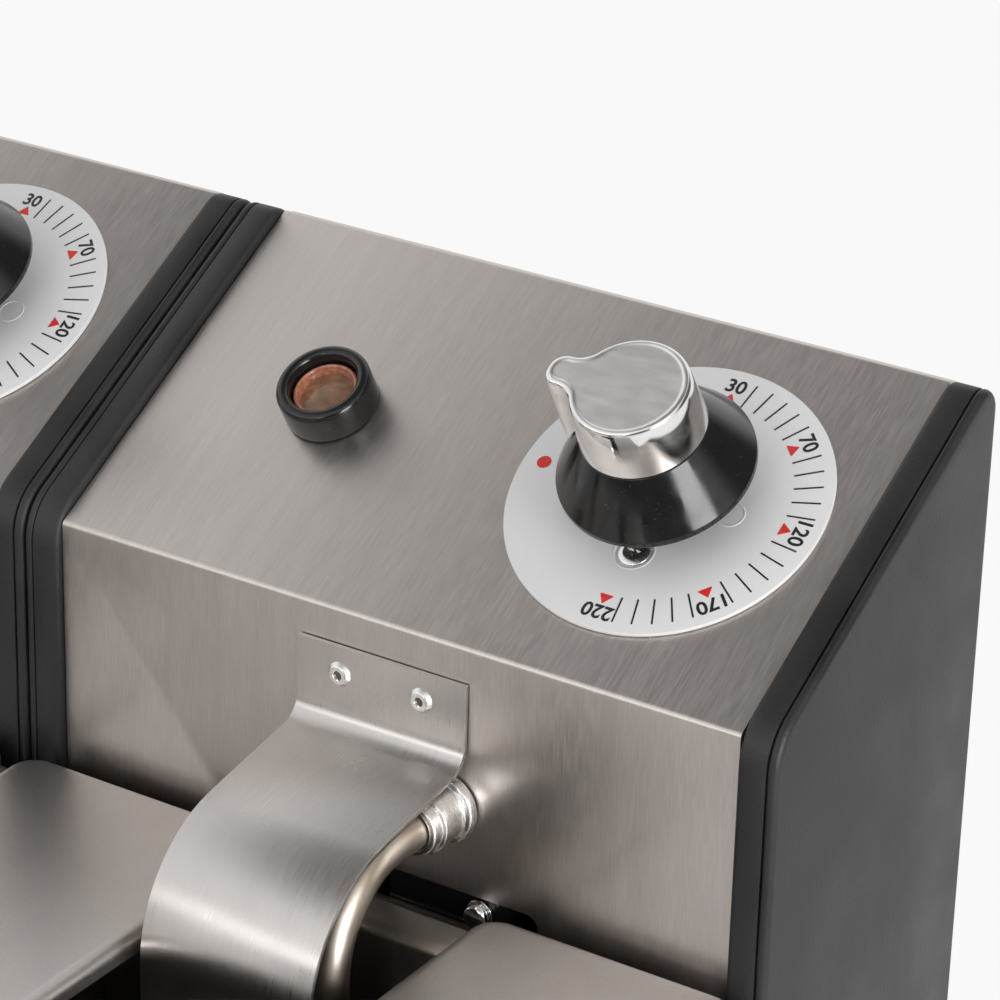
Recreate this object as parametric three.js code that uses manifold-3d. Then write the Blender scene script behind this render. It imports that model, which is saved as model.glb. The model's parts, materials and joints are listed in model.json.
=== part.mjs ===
// Countertop double deep fryer: one stainless casing that carries two lift-out oil tanks, each with its
// own lift-off control head, frying basket and lid.
//
// Each fryer unit is built once, in unit coordinates, and placed twice. In unit coordinates x = 0 is the
// unit's middle, y = 0 is the front face of its control head (the cook stands at -y) and z = 0 is the
// counter. Millimetres throughout.
import * as THREE from 'three';
import Module from 'manifold-3d';
import { mergeVertices } from 'three/addons/utils/BufferGeometryUtils.js';

const wasm = await Module();
wasm.setup();

// ---------------------------------------------------------------- driving dimensions
const GAP = 0.3;                 // left between two pieces that touch
const SHEET = 1.0;               // stainless sheet of casing, heads, tanks and lids

const UNIT_PITCH = 177.2;        // middle of one fryer unit to the middle of the next
const UNIT_NAMES = ['left', 'right'];

const FOOT_HEIGHT = 16;
const FOOT_RADIUS = 11;
const FOOT_INSET = 27;           // foot centre in from the casing's sides, front and back
const CASING_DEPTH = 320;        // casing front to the heads' front faces
const CASING_CORNER = 8;         // bend radius of the casing's front corners
const BASE_TO_TANK = 22.7;       // casing's bottom edge to the tanks' undersides
const DECK_FLANGE = 12;          // turned-down edge of the deck
const WALL_TO_HEAD = 5;          // casing's upper rear wall to the heads' front faces
const SHELF_BELOW_DECK = 61.4;   // rear shelf that the heads stand on

const RIM_WIDTH = 9.5;           // flat rim around each tank
const RIM_DROP = 4;              // turned-down edge of that rim
const RIM_OUTER_WIDTH = 169.6;
const RIM_TO_HEAD = 9.5;         // rim's rear edge to the head's front face
const RIM_TO_FRONT = 5.5;        // rim's front edge to the casing's front
const RIM_CORNER = 18;
const TANK_DEPTH = 150;
const TANK_BOTTOM_RADIUS = 14;
const TANK_CLEARANCE = 2;        // tank wall to the edge of its opening in the deck

const LID_WIDTH = 173;
const LID_TO_HEAD = 4;           // lid's rear edge to the head's front face
const LID_TO_FRONT = 3.8;        // lid's front edge to the casing's front
const LID_LIP = 4.5;
const LID_CORNER = 6;
const NOTCH_WIDTH = 50;          // rear notch that the guard and the element fittings pass through
const NOTCH_SHIFT = 2.6;         // the notch lies to the right of the lid's middle
const NOTCH_DEPTH = 88;
const LID_KNOB_RADIUS = 17;
const LID_KNOB_HEIGHT = 30;

const CHEEK_THICKNESS = 8.7;     // plastic cheek at each end of a head
const CHEEK_WALL = 2.4;
const CHEEK_PROUD = 1.8;         // cheek stands above the steel face and slope
const CHEEK_EDGE = 1.3;
const HEAD_TO_HEAD = 0.4;
const BEND_ABOVE_DECK = 58.1;    // fold between a head's front face and its slope
const BEND_RADIUS = 1.5;
const SLOPE_ANGLE = THREE.MathUtils.degToRad(30.1);
const SLOPE_LENGTH = 90.8;

const CONTROL_SPACING = 79.8;    // lamp centre to dial centre, across the slope
const CONTROL_UP = 44.8;         // both centres, up the slope from the fold
const DIAL_RADIUS = 33;
const DIAL_THICKNESS = 0.9;
const SHAFT_RADIUS = 3;
const SKIRT_BOTTOM = 10.5;       // knob heights are above the slope
const SKIRT_TOP = 22.5;
const SKIRT_RADIUS = 19.8;
const CAP_RADIUS = 12.7;
const CAP_TOP_RADIUS = 11.8;
const CAP_TOP = 34.5;
const NOSE_REACH = 18.2;         // knob axis to the tip of its pointer
const NOSE_WIDTH = 7.2;
const LAMP_RADIUS = 10;
const LAMP_HEIGHT = 7.8;
const LENS_RADIUS = 6.9;

const RISER_SPACING = 30.4;      // the element's two risers, across
const ELEMENT_RADIUS = 4;
const ELEMENT_DROP = 35;         // fold down to the element's fittings
const ELEMENT_ABOVE_FLOOR = 22;  // element's axis above the tank's floor
const RISER_REACH = 39.5;        // head's front face to the risers' axis
const RISER_BEND = 20;
const FITTING_LENGTH = 12.5;
const FITTING_FLANGE_RADIUS = 7.5;
const BULB_DROP = 48;            // fold down to the sensing bulb's grommet
const BULB_RADIUS = 3;
const CAPILLARY_RADIUS = 1.2;
const GROMMET_RADIUS = 4;

const GUARD_WIDTH = 39.6;        // riveted sheet that covers the risers
const GUARD_TOP_DROP = 7.4;      // fold down to the guard's top edge
const GUARD_TURN_DROP = 24.4;    // fold down to where the guard leaves the face
const GUARD_PITCH = THREE.MathUtils.degToRad(10.6);
const GUARD_REACH = 52.5;        // head's front face to the guard's upright part
const GUARD_BEND = 28;
const GUARD_ABOVE_ELEMENT = 30.3; // guard's lower edge above the element's axis
const RIVET_RADIUS = 2.65;
const RIVET_SPACING = 19.2;
const RIVET_DROP = 13.3;

const SLOT_WIDTH = 74;           // window in a head's face for the seating switch
const SLOT_HEIGHT = 7.4;
const SLOT_DROP = 56.9;
const SWITCH_STUD_RADIUS = 3;
const SWITCH_STUD_X = 23.3;

const BASKET_WALL = 1.8;
const BASKET_SIDE_GAP = 8;       // basket to tank wall, each side and front
const BASKET_TO_GUARD = 11.5;
const BASKET_BELOW_RIM = 16.7;
const HANDLE_WIRE_RADIUS = 2.5;
const HANDLE_WIRE_SPACING = 18;
const HANDLE_DROP = 62;          // handle wire's reach down the basket's front
const HANDLE_PITCH = THREE.MathUtils.degToRad(25);
const HANDLE_REACH = 36;         // bare wire in front of the bend
const GRIP_LENGTH = 96;
const GRIP_WIDTH = 30;
const GRIP_HEIGHT = 15;

const DOWEL_RADIUS = 3;
const DOWEL_HEIGHT = 9;
const DOWEL_SPACING = 110;
const RESET_RADIUS = 4;
const RESET_TRAVEL = 2;
const REAR_FITTING_X = 45;       // reset button and cord gland, each side of the unit's middle
const REAR_FITTING_UP = 38;      // both above the head's underside
const CORD_RADIUS = 3.6;
const GLAND_REACH = 12;

// ---------------------------------------------------------------- sizes that follow
const RIM_TOP = FOOT_HEIGHT + BASE_TO_TANK + TANK_DEPTH;
const DECK_TOP = RIM_TOP - RIM_DROP - GAP;
const SHELF_TOP = DECK_TOP - SHELF_BELOW_DECK;
const LID_TOP = RIM_TOP + GAP + SHEET;
const BEND_Z = DECK_TOP + BEND_ABOVE_DECK;
const HEAD_WIDTH = UNIT_PITCH - HEAD_TO_HEAD;
const PANEL_WIDTH = HEAD_WIDTH - 2 * CHEEK_THICKNESS - 2 * GAP;
const HEAD_BOTTOM = SHELF_TOP + GAP;
const SLOPE_RUN = SLOPE_LENGTH * Math.cos(SLOPE_ANGLE);
const SLOPE_RISE = SLOPE_LENGTH * Math.sin(SLOPE_ANGLE);
const CASING_FRONT = -CASING_DEPTH;
const CASING_BACK = SLOPE_RUN + CHEEK_PROUD;
const CASING_HALF = UNIT_PITCH * UNIT_NAMES.length / 2 + GAP;
const INSIDE_HALF = CASING_HALF - SHEET - GAP;
const RIM_LENGTH = CASING_DEPTH - RIM_TO_HEAD - RIM_TO_FRONT;
const RIM_MIDDLE = -RIM_TO_HEAD - RIM_LENGTH / 2;
const TANK_WIDTH = RIM_OUTER_WIDTH - 2 * RIM_WIDTH;
const TANK_LENGTH = RIM_LENGTH - 2 * RIM_WIDTH;
const TANK_CORNER = RIM_CORNER - RIM_WIDTH;
const TANK_FLOOR = RIM_TOP - TANK_DEPTH + SHEET;
const ELEMENT_Z = TANK_FLOOR + ELEMENT_ABOVE_FLOOR;
const GUARD_BOTTOM = ELEMENT_Z + GUARD_ABOVE_ELEMENT;
const BASKET_BOTTOM = ELEMENT_Z + ELEMENT_RADIUS + GAP;
const BASKET_TOP = RIM_TOP - BASKET_BELOW_RIM;
const BASKET_WIDTH = TANK_WIDTH - 2 * SHEET - 2 * BASKET_SIDE_GAP;
const BASKET_BACK = -GUARD_REACH - BASKET_TO_GUARD;
const BASKET_FRONT = RIM_MIDDLE - TANK_LENGTH / 2 + SHEET + BASKET_SIDE_GAP;
const REAR_FITTING_Z = HEAD_BOTTOM + REAR_FITTING_UP;
const COVER_FRONT = SLOPE_RUN + GAP;

// ---------------------------------------------------------------- finishes
const finish = (color, roughness, metalness) => () =>
  new THREE.MeshStandardMaterial({ color, roughness, metalness });
const brushedSteel = finish(0xaaa098, 0.35, 1);
const meshSteel = finish(0xb4b2ae, 0.3, 1);
const chrome = finish(0xd6d6d6, 0.08, 1);
const elementSteel = finish(0x8d8a86, 0.4, 1);
const grainedBlack = finish(0x262626, 0.6, 0);
const glossBlack = finish(0x0c0c0c, 0.15, 0);
const dialGrey = finish(0xdededc, 0.5, 0);
const amberGlass = finish(0xb4683c, 0.2, 0);
const footRubber = finish(0x1c1c1c, 0.8, 0);
const innerPlastic = finish(0x5a5650, 0.6, 0);
const resetRed = finish(0xb01c18, 0.4, 0);

// ---------------------------------------------------------------- solids
// A closed geometry becomes a solid for joining and cutting.
function solid(geometry) {
  const bare = geometry.clone();
  for (const name of Object.keys(bare.attributes)) if (name !== 'position') bare.deleteAttribute(name);
  const merged = mergeVertices(bare, 1e-4);
  const index = merged.index.array;
  const position = merged.attributes.position.array;
  const corner = (i) => new THREE.Vector3().fromArray(position, 3 * index[i]);
  let triangles = [];
  let volume = 0;
  for (let i = 0; i < index.length; i += 3) {
    const [a, b, c] = [index[i], index[i + 1], index[i + 2]];
    if (a === b || b === c || c === a) continue;
    triangles.push(a, b, c);
    volume += corner(i).dot(corner(i + 1).cross(corner(i + 2)));
  }
  if (volume < 0) triangles = triangles.reverse();
  return new wasm.Manifold(new wasm.Mesh({
    numProp: 3,
    vertProperties: new Float32Array(position),
    triVerts: new Uint32Array(triangles),
  }));
}

const join = (first, ...others) => others.reduce((sum, other) => sum.add(other), first);
const cut = (first, ...others) => others.reduce((rest, other) => rest.subtract(other), first);

function meshOf(name, body, material) {
  const made = body.getMesh();
  const geometry = new THREE.BufferGeometry();
  geometry.setAttribute('position', new THREE.BufferAttribute(new Float32Array(made.vertProperties), 3));
  geometry.setIndex(new THREE.BufferAttribute(new Uint32Array(made.triVerts), 1));
  geometry.computeVertexNormals();
  const mesh = new THREE.Mesh(geometry, material());
  mesh.name = name;
  return mesh;
}

function block([x0, x1], [y0, y1], [z0, z1]) {
  const box = new THREE.BoxGeometry(x1 - x0, y1 - y0, z1 - z0);
  return solid(box.translate((x0 + x1) / 2, (y0 + y1) / 2, (z0 + z1) / 2));
}

function roundedRectangle(width, length, radius, middle = [0, 0]) {
  const [cx, cy] = middle;
  const dx = width / 2 - radius;
  const dy = length / 2 - radius;
  const shape = new THREE.Shape();
  shape.absarc(cx + dx, cy + dy, radius, 0, Math.PI / 2);
  shape.absarc(cx - dx, cy + dy, radius, Math.PI / 2, Math.PI);
  shape.absarc(cx - dx, cy - dy, radius, Math.PI, 1.5 * Math.PI);
  shape.absarc(cx + dx, cy - dy, radius, 1.5 * Math.PI, 2 * Math.PI);
  return shape;
}

// A closed outline through [a, b, radius] corners, each rounded by an arc of its radius.
function filletedOutline(corners) {
  const shape = new THREE.Shape();
  const count = corners.length;
  corners.forEach(([a, b, radius = 0], i) => {
    const here = new THREE.Vector2(a, b);
    const before = new THREE.Vector2(...corners[(i + count - 1) % count].slice(0, 2));
    const after = new THREE.Vector2(...corners[(i + 1) % count].slice(0, 2));
    const inward = before.sub(here).normalize();
    const onward = after.sub(here).normalize();
    const half = Math.acos(THREE.MathUtils.clamp(inward.dot(onward), -1, 1)) / 2;
    if (radius < 1e-6 || Math.PI / 2 - half < 1e-4) {
      if (i === 0) shape.moveTo(a, b);
      else shape.lineTo(a, b);
      return;
    }
    const start = inward.clone().multiplyScalar(radius / Math.tan(half)).add(here);
    const end = onward.clone().multiplyScalar(radius / Math.tan(half)).add(here);
    const toCentre = inward.clone().add(onward).setLength(radius / Math.sin(half));
    const centre = toCentre.add(here);
    const clockwise = inward.cross(onward) > 0;
    const angleTo = (point) => Math.atan2(point.y - centre.y, point.x - centre.x);
    if (i > 0) shape.lineTo(start.x, start.y);
    shape.absarc(centre.x, centre.y, radius, angleTo(start), angleTo(end), clockwise);
  });
  shape.closePath();
  return shape;
}

function plate(shape, [z0, z1], options = {}) {
  const { bevel = 0, bevelSegments = 2, curveSegments = 2 } = options;
  const geometry = new THREE.ExtrudeGeometry(shape, {
    depth: z1 - z0 - 2 * bevel,
    bevelEnabled: bevel > 0,
    bevelThickness: bevel,
    bevelSize: bevel,
    bevelOffset: -bevel,
    bevelSegments,
    curveSegments,
  });
  return solid(geometry.translate(0, 0, z0 + bevel));
}

// An outline drawn in (y, z) and extruded along x.
const ALONG_X = new THREE.Matrix4().makeBasis(
  new THREE.Vector3(0, 1, 0), new THREE.Vector3(0, 0, 1), new THREE.Vector3(1, 0, 0));
function sidePlate(shape, [x0, x1], options = {}) {
  const { bevel = 0, bevelSegments = 2, curveSegments = 2 } = options;
  const geometry = new THREE.ExtrudeGeometry(shape, {
    depth: x1 - x0 - 2 * bevel,
    bevelEnabled: bevel > 0,
    bevelThickness: bevel,
    bevelSize: bevel,
    bevelOffset: -bevel,
    bevelSegments,
    curveSegments,
  });
  return solid(geometry.translate(0, 0, x0 + bevel).applyMatrix4(ALONG_X));
}

// Turned solids: the profile is [radius, along] pairs, around +z or around +y.
function turnedGeometry(profile, segments) {
  return new THREE.LatheGeometry(profile.map(([r, along]) => new THREE.Vector2(r, along)), segments);
}
function turned(profile, [x, y, z] = [0, 0, 0], segments = 16) {
  return solid(turnedGeometry(profile, segments).rotateX(Math.PI / 2).translate(x, y, z));
}
function turnedForward(profile, [x, y, z] = [0, 0, 0], segments = 16) {
  return solid(turnedGeometry(profile, segments).translate(x, y, z));
}
const rod = (radius, z0, z1) => [[0, z0], [radius, z0], [radius, z1], [0, z1]];

// The middle line of a bent pipe or wire through [x, y, z, bend radius] corners. Its stops are the ends of
// the straight runs and the steps round each circular bend.
class PipeRoute extends THREE.Curve {
  constructor(corners, bendSteps) {
    super();
    const points = corners.map(([x, y, z]) => new THREE.Vector3(x, y, z));
    const last = points.length - 1;
    const heading = (i) => points[i + 1].clone().sub(points[i]).normalize();
    this.stops = [{ point: points[0], tangent: heading(0) }];
    for (let i = 1; i < last; i += 1) {
      const travel = heading(i - 1);
      const ahead = heading(i);
      const turn = travel.angleTo(ahead);
      const radius = corners[i][3];
      const start = travel.clone().multiplyScalar(-radius * Math.tan(turn / 2)).add(points[i]);
      const inward = ahead.clone().addScaledVector(travel, -ahead.dot(travel)).normalize();
      for (let step = 0; step <= bendSteps; step += 1) {
        const angle = turn * step / bendSteps;
        this.stops.push({
          point: start.clone().addScaledVector(travel, radius * Math.sin(angle))
            .addScaledVector(inward, radius * (1 - Math.cos(angle))),
          tangent: travel.clone().multiplyScalar(Math.cos(angle)).addScaledVector(inward, Math.sin(angle)),
        });
      }
    }
    this.stops.push({ point: points[last], tangent: heading(last - 1) });
  }

  stopAt(fraction) {
    return this.stops[Math.round(fraction * (this.stops.length - 1))];
  }

  getPointAt(fraction) {
    return this.stopAt(fraction).point.clone();
  }

  getTangentAt(fraction) {
    return this.stopAt(fraction).tangent.clone();
  }
}

function tube(corners, radius, { sides = 8, bendSteps = 4 } = {}) {
  const route = new PipeRoute(corners, bendSteps);
  const section = new THREE.Shape();
  section.absarc(0, 0, radius, 0, 2 * Math.PI);
  return solid(new THREE.ExtrudeGeometry(section, {
    steps: route.stops.length - 1,
    curveSegments: sides / 2,
    extrudePath: route,
  }));
}

// ---------------------------------------------------------------- casing
function outerShell() {
  const wrap = (inset) => filletedOutline([
    [-CASING_HALF + inset, CASING_FRONT + inset, CASING_CORNER - inset],
    [CASING_HALF - inset, CASING_FRONT + inset, CASING_CORNER - inset],
    [CASING_HALF - inset, CASING_BACK + inset],
    [-CASING_HALF + inset, CASING_BACK + inset],
  ]);
  const outside = plate(wrap(0), [FOOT_HEIGHT, DECK_TOP]);
  const inside = plate(wrap(SHEET), [FOOT_HEIGHT - SHEET, DECK_TOP + SHEET]);
  const aboveShelf = block([-2 * CASING_HALF, 2 * CASING_HALF],
    [-WALL_TO_HEAD, CASING_BACK + SHEET], [SHELF_TOP, DECK_TOP + SHEET]);
  return cut(outside, inside, aboveShelf);
}

function topDeck() {
  const front = CASING_FRONT + SHEET + GAP;
  const corner = CASING_CORNER - SHEET - GAP;
  const tray = (inset) => filletedOutline([
    [-INSIDE_HALF + inset, front + inset, corner - inset],
    [INSIDE_HALF - inset, front + inset, corner - inset],
    [INSIDE_HALF - inset, -WALL_TO_HEAD + inset],
    [-INSIDE_HALF + inset, -WALL_TO_HEAD + inset],
  ]);
  const outside = plate(tray(0), [DECK_TOP - DECK_FLANGE, DECK_TOP]);
  const inside = plate(tray(SHEET), [DECK_TOP - DECK_FLANGE - SHEET, DECK_TOP - SHEET]);
  const rearFlange = block([-2 * CASING_HALF, 2 * CASING_HALF],
    [-WALL_TO_HEAD - 2 * SHEET, SHEET], [DECK_TOP - DECK_FLANGE - SHEET, DECK_TOP - SHEET]);
  const openings = UNIT_NAMES.map((_, i) => plate(
    roundedRectangle(TANK_WIDTH + 2 * TANK_CLEARANCE, TANK_LENGTH + 2 * TANK_CLEARANCE,
      TANK_CORNER + TANK_CLEARANCE, [unitX(i), RIM_MIDDLE]),
    [DECK_TOP - 2 * SHEET, DECK_TOP + SHEET]));
  return cut(outside, inside, rearFlange, ...openings);
}

function rearPanel() {
  const wallTop = DECK_TOP - SHEET - GAP;
  const profile = filletedOutline([
    [-WALL_TO_HEAD, wallTop],
    [-WALL_TO_HEAD - SHEET, wallTop],
    [-WALL_TO_HEAD - SHEET, SHELF_TOP - SHEET],
    [CASING_BACK - SHEET, SHELF_TOP - SHEET],
    [CASING_BACK - SHEET, FOOT_HEIGHT],
    [CASING_BACK, FOOT_HEIGHT],
    [CASING_BACK, SHELF_TOP],
    [-WALL_TO_HEAD, SHELF_TOP],
  ]);
  const sheet = sidePlate(profile, [-INSIDE_HALF, INSIDE_HALF]);
  const dowels = UNIT_NAMES.flatMap((_, i) => [-1, 1].map((side) => turned(
    rod(DOWEL_RADIUS, SHELF_TOP - SHEET / 2, SHELF_TOP + DOWEL_HEIGHT),
    [unitX(i) + side * DOWEL_SPACING / 2, SLOPE_RUN / 2, 0], 12)));
  return join(sheet, ...dowels);
}

function basePlate() {
  const front = CASING_FRONT + SHEET + GAP;
  const back = CASING_BACK - SHEET - GAP;
  const corner = CASING_CORNER - SHEET - GAP;
  const floor = plate(filletedOutline([
    [-INSIDE_HALF, front, corner],
    [INSIDE_HALF, front, corner],
    [INSIDE_HALF, back],
    [-INSIDE_HALF, back],
  ]), [FOOT_HEIGHT, FOOT_HEIGHT + SHEET]);
  const ventCount = 5;
  const ventPitch = 40;
  const vents = UNIT_NAMES.flatMap((_, i) => Array.from({ length: ventCount }, (unused, k) => {
    const y = RIM_MIDDLE + (k - (ventCount - 1) / 2) * ventPitch;
    return block([unitX(i) - 45, unitX(i) + 45], [y - 3, y + 3], [FOOT_HEIGHT - SHEET, FOOT_HEIGHT + 2 * SHEET]);
  }));
  return cut(floor, ...vents);
}

function foot() {
  const top = FOOT_HEIGHT - GAP;
  return turned([[0, 0], [FOOT_RADIUS - 2, 0], [FOOT_RADIUS - 1, 1], [FOOT_RADIUS, top], [0, top]]);
}

// ---------------------------------------------------------------- tank, basket and lid
function tank() {
  const middle = [0, RIM_MIDDLE];
  const bottom = TANK_FLOOR - SHEET;
  const tub = (inset, low) => plate(
    roundedRectangle(TANK_WIDTH - 2 * inset, TANK_LENGTH - 2 * inset, TANK_CORNER - inset, middle),
    [low, RIM_TOP + 2 * TANK_BOTTOM_RADIUS],
    { bevel: Math.min(TANK_BOTTOM_RADIUS, TANK_CORNER) - inset - 0.5 });
  const rimOutline = (inset) => roundedRectangle(RIM_OUTER_WIDTH - 2 * inset, RIM_LENGTH - 2 * inset,
    RIM_CORNER - inset, middle);
  const aboveRim = block([-UNIT_PITCH, UNIT_PITCH], [-2 * CASING_DEPTH, 0],
    [RIM_TOP - SHEET / 2, RIM_TOP + 3 * TANK_BOTTOM_RADIUS]);
  const rim = cut(
    plate(rimOutline(0), [RIM_TOP - RIM_DROP, RIM_TOP]),
    plate(rimOutline(SHEET), [RIM_TOP - RIM_DROP - SHEET, RIM_TOP - SHEET]));
  return cut(join(cut(tub(0, bottom), aboveRim), rim), tub(SHEET, TANK_FLOOR));
}

function lid() {
  const back = -LID_TO_HEAD;
  const length = CASING_DEPTH - LID_TO_HEAD - LID_TO_FRONT;
  const middle = [0, back - length / 2];
  const outline = (inset) => roundedRectangle(LID_WIDTH - 2 * inset, length - 2 * inset,
    LID_CORNER - inset, middle);
  const shellBottom = LID_TOP - LID_LIP;
  const cover = cut(
    plate(outline(0), [shellBottom - 2 * SHEET, LID_TOP], { bevel: SHEET }),
    block([-LID_WIDTH, LID_WIDTH], [-2 * CASING_DEPTH, 0], [shellBottom - 3 * SHEET, shellBottom]),
    plate(outline(SHEET), [shellBottom - SHEET, LID_TOP - SHEET]));
  const through = [shellBottom - SHEET, LID_TOP + SHEET];
  const rearNotch = plate(roundedRectangle(NOTCH_WIDTH, 2 * NOTCH_DEPTH, 2, [NOTCH_SHIFT, back]), through);
  const wireHalf = HANDLE_WIRE_SPACING / 2 + 2 * HANDLE_WIRE_RADIUS;
  const handleNotch = block([-wireHalf, wireHalf],
    [CASING_FRONT, handleWireY() + 2 * HANDLE_WIRE_RADIUS], through);
  return cut(cover, rearNotch, handleNotch);
}

function lidKnob() {
  const foot = LID_TOP + GAP;
  const r = LID_KNOB_RADIUS;
  const h = LID_KNOB_HEIGHT;
  return turned([[0, foot], [0.75 * r, foot], [0.75 * r, foot + 2], [0.5 * r, foot + 0.2 * h],
    [0.5 * r, foot + 0.45 * h], [r, foot + 0.65 * h], [r, foot + 0.85 * h], [0.8 * r, foot + 0.97 * h],
    [0, foot + h]], [0, RIM_MIDDLE, 0]);
}

function basket() {
  const length = BASKET_BACK - BASKET_FRONT;
  const middle = [0, (BASKET_BACK + BASKET_FRONT) / 2];
  const corner = 16;
  const edge = 6;
  const tub = (inset, low) => plate(
    roundedRectangle(BASKET_WIDTH - 2 * inset, length - 2 * inset, corner - inset, middle),
    [low, BASKET_TOP + 3 * edge], { bevel: edge - inset });
  const aboveRim = block([-UNIT_PITCH, UNIT_PITCH], [-2 * CASING_DEPTH, 0], [BASKET_TOP, BASKET_TOP + 4 * edge]);
  return cut(tub(0, BASKET_BOTTOM), aboveRim, tub(BASKET_WALL, BASKET_BOTTOM + BASKET_WALL));
}

// The handle is one wire: it hugs the basket's front, climbs over the tank's rim and ends in the grip.
const HANDLE_BEND = 14;
const handleWireY = () => BASKET_FRONT - GAP - HANDLE_WIRE_RADIUS;
const handleDirection = new THREE.Vector3(0, -Math.cos(HANDLE_PITCH), Math.sin(HANDLE_PITCH));
function handleTurn() {
  const bendStart = RIM_TOP - 4;
  const turnAngle = Math.PI / 2 - HANDLE_PITCH;
  return new THREE.Vector3(0, handleWireY(), bendStart + HANDLE_BEND * Math.tan(turnAngle / 2));
}
const handlePoint = (distance) => handleDirection.clone().multiplyScalar(distance).add(handleTurn());

function handleWire(radius) {
  const half = HANDLE_WIRE_SPACING / 2;
  const low = BASKET_TOP - HANDLE_DROP;
  const top = handleTurn();
  const end = handlePoint(HANDLE_REACH + GRIP_LENGTH * 0.6);
  const leg = (x) => [[x, end.y, end.z, 0], [x, top.y, top.z, HANDLE_BEND], [x, top.y, low, half * 0.95]];
  return tube([...leg(half), ...leg(-half).reverse()], radius);
}

function basketGrip() {
  const grip = plate(roundedRectangle(GRIP_WIDTH, GRIP_HEIGHT, 5), [0, GRIP_LENGTH],
    { bevel: 3 });
  const start = handlePoint(HANDLE_REACH);
  const along = new THREE.Matrix4().makeBasis(
    new THREE.Vector3(1, 0, 0), new THREE.Vector3(1, 0, 0).cross(handleDirection).negate(), handleDirection);
  along.setPosition(start);
  return cut(grip.transform(along.elements), handleWire(HANDLE_WIRE_RADIUS + GAP));
}

// ---------------------------------------------------------------- control head
function headShell() {
  const tan = Math.tan(SLOPE_ANGLE);
  const under = SHEET / Math.cos(SLOPE_ANGLE);
  const flange = 10;
  const top = BEND_Z + SLOPE_RISE;
  const folded = sidePlate(filletedOutline([
    [0, HEAD_BOTTOM],
    [0, BEND_Z, BEND_RADIUS],
    [SLOPE_RUN, top, BEND_RADIUS],
    [SLOPE_RUN, top - flange],
    [SLOPE_RUN - SHEET, top - flange],
    [SLOPE_RUN - SHEET, top - SHEET * tan - under, BEND_RADIUS - SHEET],
    [SHEET, BEND_Z + SHEET * tan - under, BEND_RADIUS - SHEET],
    [SHEET, HEAD_BOTTOM],
  ]), [-PANEL_WIDTH / 2, PANEL_WIDTH / 2]);
  const through = (radius, x, z) => turnedForward(rod(radius, -SHEET, 2 * SHEET), [x, 0, z], 12);
  const risers = [-1, 1].map((side) => through(ELEMENT_RADIUS + GAP, side * RISER_SPACING / 2,
    BEND_Z - ELEMENT_DROP));
  const capillary = through(CAPILLARY_RADIUS + GAP, 0, BEND_Z - BULB_DROP);
  const slotOutline = roundedRectangle(SLOT_WIDTH, SLOT_HEIGHT, 3);
  const slot = plate(slotOutline, [-2 * SHEET, 2 * SHEET]).rotate([90, 0, 0]).translate([0, 0, BEND_Z - SLOT_DROP]);
  const controls = [[-1, LAMP_NECK_RADIUS + GAP], [1, SHAFT_RADIUS + 2]].map(([side, radius]) =>
    onSlope(turned(rod(radius, -3 * SHEET, SHEET), [side * CONTROL_SPACING / 2, CONTROL_UP, 0], 12)));
  return cut(folded, ...risers, capillary, slot, ...controls);
}

// Slope coordinates: x across, y up the slope from the fold, z out of the steel.
const onSlope = (body) => body.rotate([THREE.MathUtils.radToDeg(SLOPE_ANGLE), 0, 0]).translate([0, 0, BEND_Z]);

function backCover() {
  const top = BEND_Z + SLOPE_RISE - 2 * SHEET;
  const front = SHEET + GAP;
  const folded = sidePlate(filletedOutline([
    [front, HEAD_BOTTOM],
    [COVER_FRONT + SHEET, HEAD_BOTTOM],
    [COVER_FRONT + SHEET, top],
    [COVER_FRONT, top],
    [COVER_FRONT, HEAD_BOTTOM + SHEET],
    [front, HEAD_BOTTOM + SHEET],
  ]), [-PANEL_WIDTH / 2, PANEL_WIDTH / 2]);
  const through = (radius, x, z) => turnedForward(
    rod(radius, COVER_FRONT - SHEET, COVER_FRONT + 2 * SHEET), [x, 0, z], 12);
  const dowelHoles = [-1, 1].map((side) => turned(
    rod(DOWEL_RADIUS + GAP, HEAD_BOTTOM - SHEET, HEAD_BOTTOM + 2 * SHEET),
    [side * DOWEL_SPACING / 2, SLOPE_RUN / 2, 0], 12));
  const louvreCount = 6;
  const louvres = Array.from({ length: louvreCount }, (_, k) => {
    const z = BEND_Z + SLOPE_RISE - 24 - 9 * k;
    return block([-35, 35], [COVER_FRONT - SHEET, COVER_FRONT + 2 * SHEET], [z - 1.6, z + 1.6]);
  });
  return cut(folded, ...dowelHoles, ...louvres,
    through(RESET_RADIUS + GAP, -REAR_FITTING_X, REAR_FITTING_Z),
    through(CORD_RADIUS + 2 + GAP, REAR_FITTING_X, REAR_FITTING_Z));
}

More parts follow.
